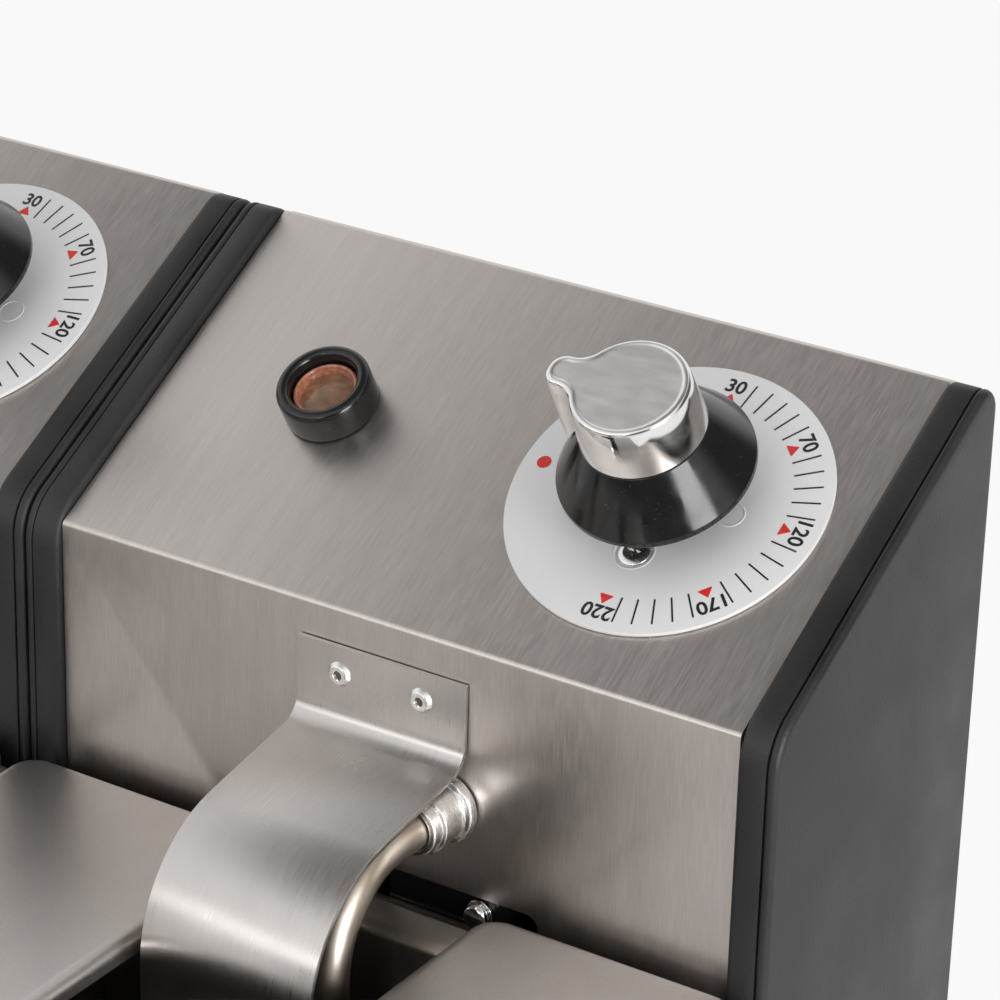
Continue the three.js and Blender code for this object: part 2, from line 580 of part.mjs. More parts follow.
// A cheek closes one end of the head: a shallow moulded tray whose rim is the band beside the steel.
function cheek(side) {
  const tan = Math.tan(SLOPE_ANGLE);
  const outline = (inset, bottomInset) => {
    const front = -CHEEK_PROUD + inset;
    const back = CASING_BACK - inset;
    const lift = (CHEEK_PROUD - inset) / Math.cos(SLOPE_ANGLE);
    return filletedOutline([
      [front, HEAD_BOTTOM + bottomInset, 2],
      [back, HEAD_BOTTOM + bottomInset, 2],
      [back, BEND_Z + back * tan + lift, 5],
      [front, BEND_Z + front * tan + lift, 12],
    ]);
  };
  const inner = side * (HEAD_WIDTH / 2 - CHEEK_THICKNESS);
  const outer = side * HEAD_WIDTH / 2;
  const span = [Math.min(inner, outer), Math.max(inner, outer)];
  const pocketEnd = outer - side * CHEEK_WALL;
  const pocketStart = inner - side;
  const pocket = [Math.min(pocketStart, pocketEnd), Math.max(pocketStart, pocketEnd)];
  return cut(
    sidePlate(outline(0, 0), span, { bevel: CHEEK_EDGE }),
    sidePlate(outline(CHEEK_WALL + 1, CHEEK_WALL), pocket));
}

function guard() {
  const thickness = SHEET;
  const offset = GAP + thickness;
  // Outer face: down the head's face, out along the slanted top, round the big bend and down.
  const slant = Math.tan(GUARD_PITCH);
  const turnZ = BEND_Z - GUARD_TURN_DROP;
  const elbowZ = turnZ - (GUARD_REACH - offset) * slant;
  const inner = thickness / Math.cos(GUARD_PITCH);
  const strip = sidePlate(filletedOutline([
    [-GAP, BEND_Z - GUARD_TOP_DROP],
    [-offset, BEND_Z - GUARD_TOP_DROP],
    [-offset, turnZ, 5],
    [-GUARD_REACH, elbowZ, GUARD_BEND],
    [-GUARD_REACH, GUARD_BOTTOM],
    [-GUARD_REACH + thickness, GUARD_BOTTOM],
    [-GUARD_REACH + thickness, elbowZ - inner + thickness * slant, GUARD_BEND - thickness],
    [-GAP, turnZ - inner + thickness * slant, 5 + thickness],
  ]), [-GUARD_WIDTH / 2, GUARD_WIDTH / 2], { curveSegments: 4 });
  const dome = [[0, 0.4], [RIVET_RADIUS, 0.4], [RIVET_RADIUS, -0.3], [0.6 * RIVET_RADIUS, -1], [0, -1.2]];
  const rivets = [-1, 1].map((side) => turnedForward(dome,
    [side * RIVET_SPACING / 2, -offset, BEND_Z - RIVET_DROP], 12));
  return join(strip, ...rivets);
}

function heatingElement() {
  const riser = RISER_SPACING / 2;
  const outer = BASKET_WIDTH / 2 - 6;
  const inner = outer - 36;
  const front = RIM_MIDDLE - TANK_LENGTH / 2 + 24;
  const back = -GUARD_REACH - 22;
  const side = (s) => [
    [s * riser, 12, BEND_Z - ELEMENT_DROP, 0],
    [s * riser, -RISER_REACH, BEND_Z - ELEMENT_DROP, RISER_BEND],
    [s * riser, -RISER_REACH, ELEMENT_Z, 12],
    [s * outer, -RISER_REACH, ELEMENT_Z, 12],
    [s * outer, front, ELEMENT_Z, 17.9],
    [s * inner, front, ELEMENT_Z, 17.9],
    [s * inner, back, ELEMENT_Z, 16],
  ];
  return tube([...side(1), ...side(-1).reverse()], ELEMENT_RADIUS);
}

function elementFitting(side) {
  const bore = ELEMENT_RADIUS + GAP;
  const profile = [[bore, -GAP], [FITTING_FLANGE_RADIUS, -GAP], [FITTING_FLANGE_RADIUS, -2.6], [6, -2.8],
    [6, -7], [6.4, -7.2], [6.4, -9.6], [5.6, -9.8], [5.6, -FITTING_LENGTH], [bore, -FITTING_LENGTH], [bore, -GAP]];
  return turnedForward(profile, [side * RISER_SPACING / 2, 0, BEND_Z - ELEMENT_DROP], 14);
}

function sensingBulb() {
  const z = BEND_Z - BULB_DROP;
  const y = -RISER_REACH + 7.5;
  const bulbTop = BEND_Z - BULB_DROP - 42;
  const bulbBottom = ELEMENT_Z + ELEMENT_RADIUS + 8;
  const capillary = tube([[0, 10, z, 0], [0, y, z, 8], [0, y, bulbTop - 2, 0]], CAPILLARY_RADIUS,
    { sides: 6 });
  const bulb = turned([[0, bulbBottom], [BULB_RADIUS - 1, bulbBottom], [BULB_RADIUS, bulbBottom + 1],
    [BULB_RADIUS, bulbTop - 2], [CAPILLARY_RADIUS, bulbTop], [0, bulbTop]], [0, y, 0], 12);
  const grommet = turnedForward([[0, -GAP], [GROMMET_RADIUS, -GAP], [GROMMET_RADIUS, -1.2],
    [GROMMET_RADIUS - 1, -2], [0, -2]], [0, 0, z], 14);
  return join(capillary, bulb, grommet);
}

function thermostat() {
  const half = 21;
  const depth = 28;
  const body = block([-half, half], [-half, half], [-SHEET - GAP - depth, -SHEET - GAP]);
  return cut(body, turned(rod(SHAFT_RADIUS + GAP, -SHAFT_BELOW - GAP, 0), [0, 0, 0], 12));
}

const SHAFT_BELOW = 20;
const CAP_BORE_TOP = SKIRT_TOP + 6;
const knobShaft = () => turned(rod(SHAFT_RADIUS, -SHAFT_BELOW, CAP_BORE_TOP - GAP), [0, 0, 0], 12);

function dialPlate() {
  const low = GAP;
  const bore = SHAFT_RADIUS + 2;
  return turned([[bore, low], [DIAL_RADIUS, low], [DIAL_RADIUS, low + DIAL_THICKNESS],
    [bore, low + DIAL_THICKNESS], [bore, low]], [0, 0, 0], 36);
}

function knobSkirt() {
  const bore = SHAFT_RADIUS + GAP;
  const rim = SKIRT_BOTTOM + 1.3;
  return turned([[bore, 3], [6, 3], [6, SKIRT_TOP - 3], [CAP_RADIUS - 2.5, SKIRT_TOP - 3],
    [SKIRT_RADIUS - 2, SKIRT_BOTTOM], [SKIRT_RADIUS, SKIRT_BOTTOM], [SKIRT_RADIUS, rim],
    [CAP_RADIUS, SKIRT_TOP], [bore, SKIRT_TOP], [bore, 3]], [0, 0, 0], 24);
}

function knobCap() {
  const base = SKIRT_TOP + GAP;
  const rim = SKIRT_BOTTOM + 1.3;
  const drum = turned([[0, base], [CAP_RADIUS, base], [CAP_TOP_RADIUS, CAP_TOP - 0.8],
    [CAP_TOP_RADIUS - 0.8, CAP_TOP], [0, CAP_TOP]], [0, 0, 0], 24);
  // Pointer in plan: concave flanks from the drum to a rounded tip on -x.
  const tip = NOSE_REACH - NOSE_WIDTH / 2;
  const flank = CAP_TOP_RADIUS * Math.sin(Math.PI / 4);
  const plan = new THREE.Shape();
  plan.moveTo(-flank, flank);
  plan.quadraticCurveTo(-flank - 2.6, NOSE_WIDTH / 2, -tip, NOSE_WIDTH / 2);
  plan.absarc(-tip, 0, NOSE_WIDTH / 2, Math.PI / 2, 1.5 * Math.PI);
  plan.quadraticCurveTo(-flank - 2.6, -NOSE_WIDTH / 2, -flank, -flank);
  plan.closePath();
  const nose = plate(plan, [rim, CAP_TOP], { curveSegments: 5 });
  // The pointer's underside follows the skirt's cone, clear of it.
  const clear = 0.6;
  const rise = (SKIRT_TOP - rim) / (SKIRT_RADIUS - CAP_RADIUS);
  const skirtCone = turned([[0, rim - 1], [SKIRT_RADIUS + clear + 1 / rise, rim - 1],
    [CAP_RADIUS + clear, SKIRT_TOP], [CAP_RADIUS + clear, base], [0, base]], [0, 0, 0], 24);
  const bore = turned(rod(SHAFT_RADIUS + GAP, rim, CAP_BORE_TOP), [0, 0, 0], 12);
  return cut(join(drum, cut(nose, skirtCone)), bore);
}

const LAMP_NECK_RADIUS = 5.7;
function lampBezel() {
  const floor = 1.5;
  return turned([[3, -8], [LAMP_NECK_RADIUS, -8], [LAMP_NECK_RADIUS, GAP], [LAMP_RADIUS, GAP],
    [LAMP_RADIUS, LAMP_HEIGHT - 1.2], [LAMP_RADIUS - 0.8, LAMP_HEIGHT], [LENS_RADIUS + GAP, LAMP_HEIGHT],
    [LENS_RADIUS + GAP, floor], [3, floor], [3, -8]], [0, 0, 0], 20);
}

function lampLens() {
  const low = 1.5 + GAP;
  return turned([[0, low], [LENS_RADIUS, low], [LENS_RADIUS, LAMP_HEIGHT - 1.6],
    [LENS_RADIUS - 1, LAMP_HEIGHT - 0.9], [0, LAMP_HEIGHT - 0.6]], [0, 0, 0], 20);
}

function safetySwitch() {
  const z = BEND_Z - SLOT_DROP;
  const front = SHEET + GAP;
  const body = block([SWITCH_STUD_X - 22, SWITCH_STUD_X + 6], [front, front + 11], [z - 9, z + 9]);
  const stud = turnedForward([[0, front + 1], [SWITCH_STUD_RADIUS, front + 1], [SWITCH_STUD_RADIUS, -1.4],
    [SWITCH_STUD_RADIUS - 0.8, -2.2], [0, -2.2]], [SWITCH_STUD_X, 0, z], 14);
  return join(body, stud);
}

const RESET_INNER = COVER_FRONT - 5;
function limitThermostat() {
  const half = 15;
  const back = RESET_INNER - RESET_TRAVEL - GAP;
  return block([-REAR_FITTING_X - half, -REAR_FITTING_X + half], [back - 26, back],
    [HEAD_BOTTOM + SHEET + GAP, REAR_FITTING_Z + half]);
}

function resetButton() {
  const outer = COVER_FRONT + SHEET + 4.5;
  return turnedForward([[0, RESET_INNER], [RESET_RADIUS, RESET_INNER], [RESET_RADIUS, outer - 0.8],
    [RESET_RADIUS - 0.8, outer], [0, outer]], [-REAR_FITTING_X, 0, REAR_FITTING_Z], 16);
}

function cordGland() {
  const face = COVER_FRONT + SHEET + GAP;
  const neck = CORD_RADIUS + 2;
  return turnedForward([[CORD_RADIUS, face - 8], [neck, face - 8], [neck, face], [neck + 3.5, face],
    [neck + 3.5, face + 3], [neck + 0.5, face + GLAND_REACH], [CORD_RADIUS, face + GLAND_REACH],
    [CORD_RADIUS, face - 8]], [REAR_FITTING_X, 0, REAR_FITTING_Z], 14);
}

// ---------------------------------------------------------------- assembly
function unitX(i) {
  return (i - (UNIT_NAMES.length - 1) / 2) * UNIT_PITCH;
}

function fryerUnit(name, x) {
  const part = (piece, body, material) => meshOf(`${name}_${piece}`, body, material);
  const slope = new THREE.Group();
  slope.position.set(0, 0, BEND_Z);
  slope.rotation.x = SLOPE_ANGLE;

  const dial = new THREE.Group();
  dial.position.set(CONTROL_SPACING / 2, CONTROL_UP, 0);
  dial.add(
    part('dial_plate', dialPlate(), dialGrey),
    part('thermostat', thermostat(), innerPlastic),
    part('knob_shaft', knobShaft(), chrome),
    part('knob_skirt', knobSkirt(), glossBlack),
    part('knob_cap', knobCap(), chrome),
  );
  const lamp = new THREE.Group();
  lamp.position.set(-CONTROL_SPACING / 2, CONTROL_UP, 0);
  lamp.add(
    part('lamp_bezel', lampBezel(), glossBlack),
    part('lamp_lens', lampLens(), amberGlass),
  );
  slope.add(dial, lamp);

  const unit = new THREE.Group();
  unit.position.x = x;
  unit.add(
    part('tank', tank(), brushedSteel),
    part('lid', lid(), brushedSteel),
    part('lid_knob', lidKnob(), glossBlack),
    part('basket', basket(), meshSteel),
    part('basket_handle', handleWire(HANDLE_WIRE_RADIUS), chrome),
    part('basket_grip', basketGrip(), glossBlack),
    part('head_shell', headShell(), brushedSteel),
    part('head_back_cover', backCover(), brushedSteel),
    part('cheek_left', cheek(-1), grainedBlack),
    part('cheek_right', cheek(1), grainedBlack),
    part('element_guard', guard(), brushedSteel),
    part('heating_element', heatingElement(), elementSteel),
    part('element_fitting_left', elementFitting(-1), elementSteel),
    part('element_fitting_right', elementFitting(1), elementSteel),
    part('sensing_bulb', sensingBulb(), elementSteel),
    part('safety_switch', safetySwitch(), chrome),
    part('limit_thermostat', limitThermostat(), innerPlastic),
    part('reset_button', resetButton(), resetRed),
    part('cord_gland', cordGland(), glossBlack),
    slope,
  );
  return unit;
}

function casing() {
  const group = new THREE.Group();
  group.add(
    meshOf('outer_shell', outerShell(), brushedSteel),
    meshOf('top_deck', topDeck(), brushedSteel),
    meshOf('rear_panel', rearPanel(), brushedSteel),
    meshOf('base_plate', basePlate(), brushedSteel),
  );
  const places = { front: CASING_FRONT + FOOT_INSET, back: CASING_BACK - FOOT_INSET };
  for (const [end, y] of Object.entries(places)) {
    for (const [side, sign] of [['left', -1], ['right', 1]]) {
      const rubber = meshOf(`foot_${end}_${side}`, foot(), footRubber);
      rubber.position.set(sign * (CASING_HALF - FOOT_INSET), y, 0);
      group.add(rubber);
    }
  }
  return group;
}

const fryer = new THREE.Group();
fryer.name = 'double_deep_fryer';
fryer.add(casing());
UNIT_NAMES.forEach((name, i) => fryer.add(fryerUnit(name, unitX(i))));

// The origin is the middle of the whole fryer's footprint, on the counter.
const footprint = new THREE.Box3().setFromObject(fryer, true);
const middle = footprint.getCenter(new THREE.Vector3());
fryer.children.forEach((child) => child.position.sub(new THREE.Vector3(middle.x, middle.y, footprint.min.z)));

export default fryer;
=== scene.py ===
# %% [markdown]
# # A countertop double deep fryer
# This lesson dresses a packed mechanical model of a double deep fryer. The model (the "frame") already
# says where every part is and how it moves. Blender's job is the looks: finer shapes for what is seen,
# and a finish for every surface. Blender works in metres, but sheet metal is drawn in millimetres, so
# each piece is drawn in millimetres first and its placing matrix brings it into the frame.

# %% Load the frame
import json
import math

import bmesh
import bpy
from mathutils import Matrix, Vector


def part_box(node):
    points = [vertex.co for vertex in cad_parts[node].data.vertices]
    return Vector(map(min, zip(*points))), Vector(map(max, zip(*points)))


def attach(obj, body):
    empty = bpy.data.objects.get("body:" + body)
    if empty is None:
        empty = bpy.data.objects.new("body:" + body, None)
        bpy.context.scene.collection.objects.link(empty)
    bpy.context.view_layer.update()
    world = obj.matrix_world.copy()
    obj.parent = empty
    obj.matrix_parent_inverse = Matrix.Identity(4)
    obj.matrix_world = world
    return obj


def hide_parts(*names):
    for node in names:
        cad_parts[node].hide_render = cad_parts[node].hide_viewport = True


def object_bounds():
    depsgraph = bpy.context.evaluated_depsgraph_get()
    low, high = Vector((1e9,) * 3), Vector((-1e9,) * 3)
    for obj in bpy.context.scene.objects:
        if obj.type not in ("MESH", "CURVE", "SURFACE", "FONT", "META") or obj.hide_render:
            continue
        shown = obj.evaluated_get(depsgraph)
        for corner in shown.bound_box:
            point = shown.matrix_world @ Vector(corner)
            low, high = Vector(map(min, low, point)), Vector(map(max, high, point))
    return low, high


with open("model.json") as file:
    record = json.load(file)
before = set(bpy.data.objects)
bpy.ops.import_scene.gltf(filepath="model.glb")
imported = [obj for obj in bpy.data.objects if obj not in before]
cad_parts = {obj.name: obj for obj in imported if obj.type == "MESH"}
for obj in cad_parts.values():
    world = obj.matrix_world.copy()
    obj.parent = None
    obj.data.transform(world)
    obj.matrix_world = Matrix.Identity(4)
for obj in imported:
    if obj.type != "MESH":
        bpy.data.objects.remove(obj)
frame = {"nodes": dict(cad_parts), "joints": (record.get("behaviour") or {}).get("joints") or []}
cad_low, cad_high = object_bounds()
scene = bpy.context.scene

# %% [markdown]
# ## Places taken from the frame
# The fryer has two alike units side by side. A unit's drawing board has x across from the unit's middle,
# y back from the face of its control head and z up from the counter. The head's top slopes back, and the
# knob turns about an axis square to that slope, so the axis gives the tilt. A second board lies on the
# slope at the dial, a third at the lamp: there z is the height above the steel.

# %% Drawing boards
MM = 0.001
GAP = 0.3               # clearance that the frame keeps between touching parts
SHEET = 1.0             # steel sheet
ACROSS = Vector((1, 0, 0))


class Unit:
    """One fryer unit: its drawing boards, and the frame's boxes read on them in millimetres."""

    def __init__(self, name):
        self.name = name
        low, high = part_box(f"{name}_head_shell")
        knob = next(j for j in frame["joints"] if j["name"] == f"{name}_knob_turn")
        hub = Vector(knob["pos_m"])
        out = Vector(knob["axis"]).normalized()
        self.middle = (low.x + high.x) / 2
        self.board = Matrix.Translation((self.middle, low.y, 0)) @ Matrix.Scale(MM, 4)
        self.tilt = math.atan2(-out.y, out.z)
        self.fold = (hub.z - (hub.y - low.y) * math.tan(self.tilt)) / MM
        turn = Matrix((ACROSS, out.cross(ACROSS), out)).transposed().to_4x4() @ Matrix.Scale(MM, 4)
        self.dial_board = Matrix.Translation(hub) @ turn
        self.lamp_board = Matrix.Translation((2 * self.middle - hub.x, hub.y, hub.z)) @ turn

    def box(self, piece):
        low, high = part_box(f"{self.name}_{piece}")
        back = self.board.inverted()
        return back @ low, back @ high

    def spot(self, piece, y):
        """The middle of a piece's box, at a stated depth."""
        low, high = self.box(piece)
        return Matrix.Translation(((low.x + high.x) / 2, y, (low.z + high.z) / 2))

    def fit(self, thing, group, slot, *pieces):
        """Hand a finished piece to one of the unit's bodies, in place of the frame's pieces."""
        return fit(thing, f"{self.name}_{group}_unit", slot, *(f"{self.name}_{piece}" for piece in pieces))


units = [Unit("left"), Unit("right")]
for unit in units:
    print(unit.name, "fold at", round(unit.fold, 1), "mm, tilt", round(math.degrees(unit.tilt), 1))

# %% [markdown]
# ## Camera
# A long lens looks down on the right-hand head from the front right. Its place is measured from the
# right head's fold, so the view follows the frame.

# %% Camera
CAMERA_FROM_FOLD = Vector((391.0, -574.3, 341.4))      # right, back and up
CAMERA_TURN = math.radians(32.46)
CAMERA_DIP = math.radians(24.37)
CAMERA_ROLL = math.radians(1.50)
LENS = 144.1

camera_data = bpy.data.cameras.new("camera")
camera_data.lens = LENS
camera_data.sensor_width = 36
camera_data.clip_start = 0.05
camera_data.clip_end = 50
camera = bpy.data.objects.new("camera", camera_data)
stand = units[1].board @ (Vector((0, 0, units[1].fold)) + CAMERA_FROM_FOLD)
aim = Matrix.Rotation(CAMERA_TURN, 4, "Z") @ Matrix.Rotation(math.pi / 2 - CAMERA_DIP, 4, "X")
camera.matrix_world = Matrix.Translation(stand) @ aim @ Matrix.Rotation(CAMERA_ROLL, 4, "Z")
scene.collection.objects.link(camera)
scene.camera = camera
print("camera at", tuple(round(v, 3) for v in stand))

# %% [markdown]
# ## Room
# Steel shows the room more than it shows its own colour, so the room is designed first. Camera, glossy
# and transmission rays see a pale surround that is white round the horizon and falls off to grey
# overhead, as in a studio with a dark ceiling, and two corners of the room are left unlit. Diffuse light
# comes from a plain even dome. A few short helpers write the nodes, here and in every material.

# %% Node helpers
def plug(tree, socket, value):
    """Set a socket to a value, or link another node's socket to it."""
    if isinstance(value, bpy.types.NodeSocket):
        tree.links.new(value, socket)
    else:
        socket.default_value = value


def maths(tree, operation, *values, clamp=False):
    """A maths node of values and sockets."""
    node = tree.nodes.new("ShaderNodeMath")
    node.operation = operation
    node.use_clamp = clamp
    for socket, value in zip(node.inputs, values):
        plug(tree, socket, value)
    return node.outputs[0]


def remapped(tree, value, source, target):
    """Map a socket from one (low, high) range to another."""
    node = tree.nodes.new("ShaderNodeMapRange")
    for socket, number in zip(("From Min", "From Max", "To Min", "To Max"), (*source, *target)):
        node.inputs[socket].default_value = number
    tree.links.new(value, node.inputs["Value"])
    return node.outputs["Result"]


def mixed_shaders(tree, share, plain, other):
    """Two shaders mixed: plain where the share is 0, the other where it is 1."""
    node = tree.nodes.new("ShaderNodeMixShader")
    for socket, value in zip(node.inputs, (share, plain, other)):
        tree.links.new(value, socket)
    return node.outputs[0]


# %% Surround
DOME = 0.62             # even light on everything
HORIZON = 1.08          # what steel sees level with itself, held at 1
OVERHEAD = 0.20         # what steel sees straight up
FADE_FROM, FADE_TO = 0.66, 0.93     # sine of the climb where the surround starts and stops to darken
# (direction, cosine where the dark starts and is full, how dark): unlit corners of the room
DARK_CORNERS = [((0.72, 0.64, 0.26), 0.78, 0.93, 0.88), ((0.52, -0.85, -0.02), 0.90, 0.97, 0.85)]

world = bpy.data.worlds.new("studio")
scene.world = world
world.use_nodes = True
tree = world.node_tree
tree.nodes.clear()

heading = tree.nodes.new("ShaderNodeTexCoord").outputs["Generated"]
split = tree.nodes.new("ShaderNodeSeparateXYZ")
tree.links.new(heading, split.inputs[0])
fade = 1 / (FADE_TO - FADE_FROM)
climb = maths(tree, "MULTIPLY_ADD", split.outputs["Z"], fade, -FADE_FROM * fade, clamp=True)
level = maths(tree, "MULTIPLY_ADD", climb, OVERHEAD - HORIZON, HORIZON, clamp=True)
for direction, start, full, depth in DARK_CORNERS:
    facing = tree.nodes.new("ShaderNodeVectorMath")
    facing.operation = "DOT_PRODUCT"
    facing.inputs[1].default_value = Vector(direction).normalized()
    tree.links.new(heading, facing.inputs[0])
    reach = full - start
    inside = maths(tree, "MULTIPLY_ADD", facing.outputs["Value"], 1 / reach, -start / reach, clamp=True)
    shadow = maths(tree, "MULTIPLY_ADD", inside, -depth, 1.0, clamp=True)
    level = maths(tree, "MULTIPLY", level, shadow, clamp=True)

rays = tree.nodes.new("ShaderNodeLightPath").outputs
shiny = maths(tree, "MAXIMUM", rays["Is Glossy Ray"], rays["Is Transmission Ray"], clamp=True)
surround = tree.nodes.new("ShaderNodeBackground")
camera_white = maths(tree, "MAXIMUM", level, rays["Is Camera Ray"], clamp=True)
tree.links.new(camera_white, surround.inputs["Color"])
dome = tree.nodes.new("ShaderNodeBackground")
dome.inputs["Color"].default_value = (1, 1, 1, 1)
dome.inputs["Strength"].default_value = DOME
seen = maths(tree, "MAXIMUM", shiny, rays["Is Camera Ray"], clamp=True)
choose = mixed_shaders(tree, seen, dome.outputs[0], surround.outputs[0])
tree.links.new(choose, tree.nodes.new("ShaderNodeOutputWorld").inputs["Surface"])
scene.view_settings.view_transform = "Standard"

# %% Soft boxes
LAMP_DISTANCE = 1.8     # every lamp's distance from the right head's fold


def soft_box(name, size, toward, brightness):
    """An area lamp facing the heads; brightness is how bright its face looks, where white is 1."""
    data = bpy.data.lights.new(name, "AREA")
    data.shape = "RECTANGLE"
    data.size, data.size_y = size
    data.energy = brightness * math.pi * size[0] * size[1]
    lamp = bpy.data.objects.new(name, data)
    direction = Vector(toward).normalized()
    lamp.location = units[1].board @ Vector((0, 0, units[1].fold)) + direction * LAMP_DISTANCE
    lamp.rotation_euler = direction.to_track_quat("Z", "Y").to_euler()
    scene.collection.objects.link(lamp)


soft_box("low_front_box", (1.8, 0.26), (-0.42, -0.86, 0.26), 1.2)
soft_box("right_box", (0.75, 0.9), (0.90, -0.40, 0.14), 9.0)
soft_box("strip_box", (0.20, 0.30), (0.136, -0.964, 0.23), 6.0)

# %% [markdown]
# ## Floor
# A pale matt floor under the rubber feet. The camera sees it nearly white, so that it melts into the
# surround, and part of its own shading is kept, so that the fryer's shadow stays on it. To shiny pieces
# the floor in front is dark, which gives the knobs and the guards their black reflections.

# %% Floor
FLOOR_HALF = 6.0
FLOOR_GLOW = 0.87       # share of plain white that the camera sees
FLOOR_MIRRORED = 0.95   # share of the same that steel sees
FRONT_FLOOR = 0.12      # how bright the floor in front of the fryer is to steel
UNLIT_FLOOR = (-0.75, -0.15)        # from here to here, front to back, steel sees it get lighter
PAPER_WHITE = 0.86
FLOOR_DROP = 0.1        # floor below the feet, so that the two faces do not meet

floor_mesh = bpy.data.meshes.new("floor")
floor_mesh.from_pydata([(-FLOOR_HALF, -FLOOR_HALF, 0), (FLOOR_HALF, -FLOOR_HALF, 0),
                        (FLOOR_HALF, FLOOR_HALF, 0), (-FLOOR_HALF, FLOOR_HALF, 0)], [], [(0, 1, 2, 3)])
floor = bpy.data.objects.new("floor", floor_mesh)
floor.location.z = cad_low.z - FLOOR_DROP * MM
scene.collection.objects.link(floor)
paper = bpy.data.materials.new("floor_paper")
paper.use_nodes = True
tree = paper.node_tree
matt = tree.nodes["Principled BSDF"]
matt.inputs["Base Color"].default_value = (PAPER_WHITE, PAPER_WHITE, PAPER_WHITE, 1)
matt.inputs["Roughness"].default_value = 0.9
matt.inputs["Specular IOR Level"].default_value = 0.1

glow = tree.nodes.new("ShaderNodeEmission")
rays = tree.nodes.new("ShaderNodeLightPath").outputs
along = tree.nodes.new("ShaderNodeSeparateXYZ")
tree.links.new(tree.nodes.new("ShaderNodeTexCoord").outputs["Object"], along.inputs[0])
lit = remapped(tree, along.outputs["Y"], UNLIT_FLOOR, (FRONT_FLOOR, 1.0))
tree.links.new(maths(tree, "MAXIMUM", rays["Is Camera Ray"], lit), glow.inputs["Color"])
share_camera = maths(tree, "MULTIPLY", rays["Is Camera Ray"], FLOOR_GLOW)
share_glossy = maths(tree, "MULTIPLY", rays["Is Glossy Ray"], FLOOR_MIRRORED)
share = maths(tree, "MAXIMUM", share_camera, share_glossy)
blend = mixed_shaders(tree, share, matt.outputs[0], glow.outputs[0])
tree.links.new(blend, tree.nodes["Material Output"].inputs["Surface"])
floor.data.materials.append(paper)

# %% [markdown]
# ## Finishes
# Every finish is a small tree of nodes on object coordinates, so its grain has a real size. A helper
# starts the tree, and others add noise, a level curve and a bump. Brushed steel is the one that matters
# most: its scratches are noise stretched a hundred times along the grain, they change the roughness and
# the bump, and the shader's anisotropy smears reflections across the grain.


# %% Finish helper
class Finish:
    """A material under construction: its Principled shader and short calls that add nodes to it."""

    def __init__(self, name, color, roughness, metallic=0.0, **sockets):
        self.material = bpy.data.materials.new(name)
        self.material.use_nodes = True
        self.tree = self.material.node_tree
        self.nodes, self.links = self.tree.nodes, self.tree.links
        self.shader = self.nodes["Principled BSDF"]
        self.shader.inputs["Base Color"].default_value = (*color, 1)
        self.shader.inputs["Roughness"].default_value = roughness
        self.shader.inputs["Metallic"].default_value = metallic
        for socket, value in sockets.items():
            self.shader.inputs[socket.replace("_", " ")].default_value = value
        self.place = self.nodes.new("ShaderNodeTexCoord").outputs["Object"]

    def stretched(self, scale):
        """Object coordinates times a scale: one number, or one for each axis."""
        mapping = self.nodes.new("ShaderNodeMapping")
        mapping.inputs["Scale"].default_value = (scale,) * 3 if isinstance(scale, (int, float)) else scale
        self.links.new(self.place, mapping.inputs["Vector"])
        return mapping.outputs[0]

    def noise(self, scale, detail):
        node = self.nodes.new("ShaderNodeTexNoise")
        node.inputs["Scale"].default_value = 1.0
        node.inputs["Detail"].default_value = detail
        self.links.new(self.stretched(scale), node.inputs["Vector"])
        return node.outputs["Fac"]

    def level(self, value, low, high, at=(0.3, 0.7)):
        """Map a value from the range at to the range low..high."""
        return remapped(self.tree, value, at, (low, high))

    def sum(self, first, second):
        return maths(self.tree, "ADD", first, second)

    def tint(self, value, dark, light, at=(0.3, 0.7)):
        """Colour the surface between two colours by a value."""
        ramp = self.nodes.new("ShaderNodeValToRGB")
        for stop, position, color in zip(ramp.color_ramp.elements, at, (dark, light)):
            stop.position = position
            stop.color = (*color, 1)
        self.links.new(value, ramp.inputs[0])
        self.links.new(ramp.outputs[0], self.shader.inputs["Base Color"])

    def rough(self, value, low, high, at=(0.3, 0.7)):
        self.links.new(self.level(value, low, high, at), self.shader.inputs["Roughness"])

    def bump(self, value, height):
        """Raise the surface by height in millimetres where the value is 1."""
        node = self.nodes.new("ShaderNodeBump")
        node.inputs["Distance"].default_value = height * MM
        self.links.new(value, node.inputs["Height"])
        self.links.new(node.outputs[0], self.shader.inputs["Normal"])

    def grain_across(self, direction):
        """Smear reflections along a direction in the object's own axes."""
        axis = self.nodes.new("ShaderNodeCombineXYZ")
        for socket, number in zip(axis.inputs, direction):
            socket.default_value = number
        turn = self.nodes.new("ShaderNodeVectorTransform")
        turn.vector_type = "VECTOR"
        turn.convert_from = "OBJECT"
        turn.convert_to = "WORLD"
        self.links.new(axis.outputs[0], turn.inputs[0])
        self.links.new(turn.outputs[0], self.shader.inputs["Tangent"])


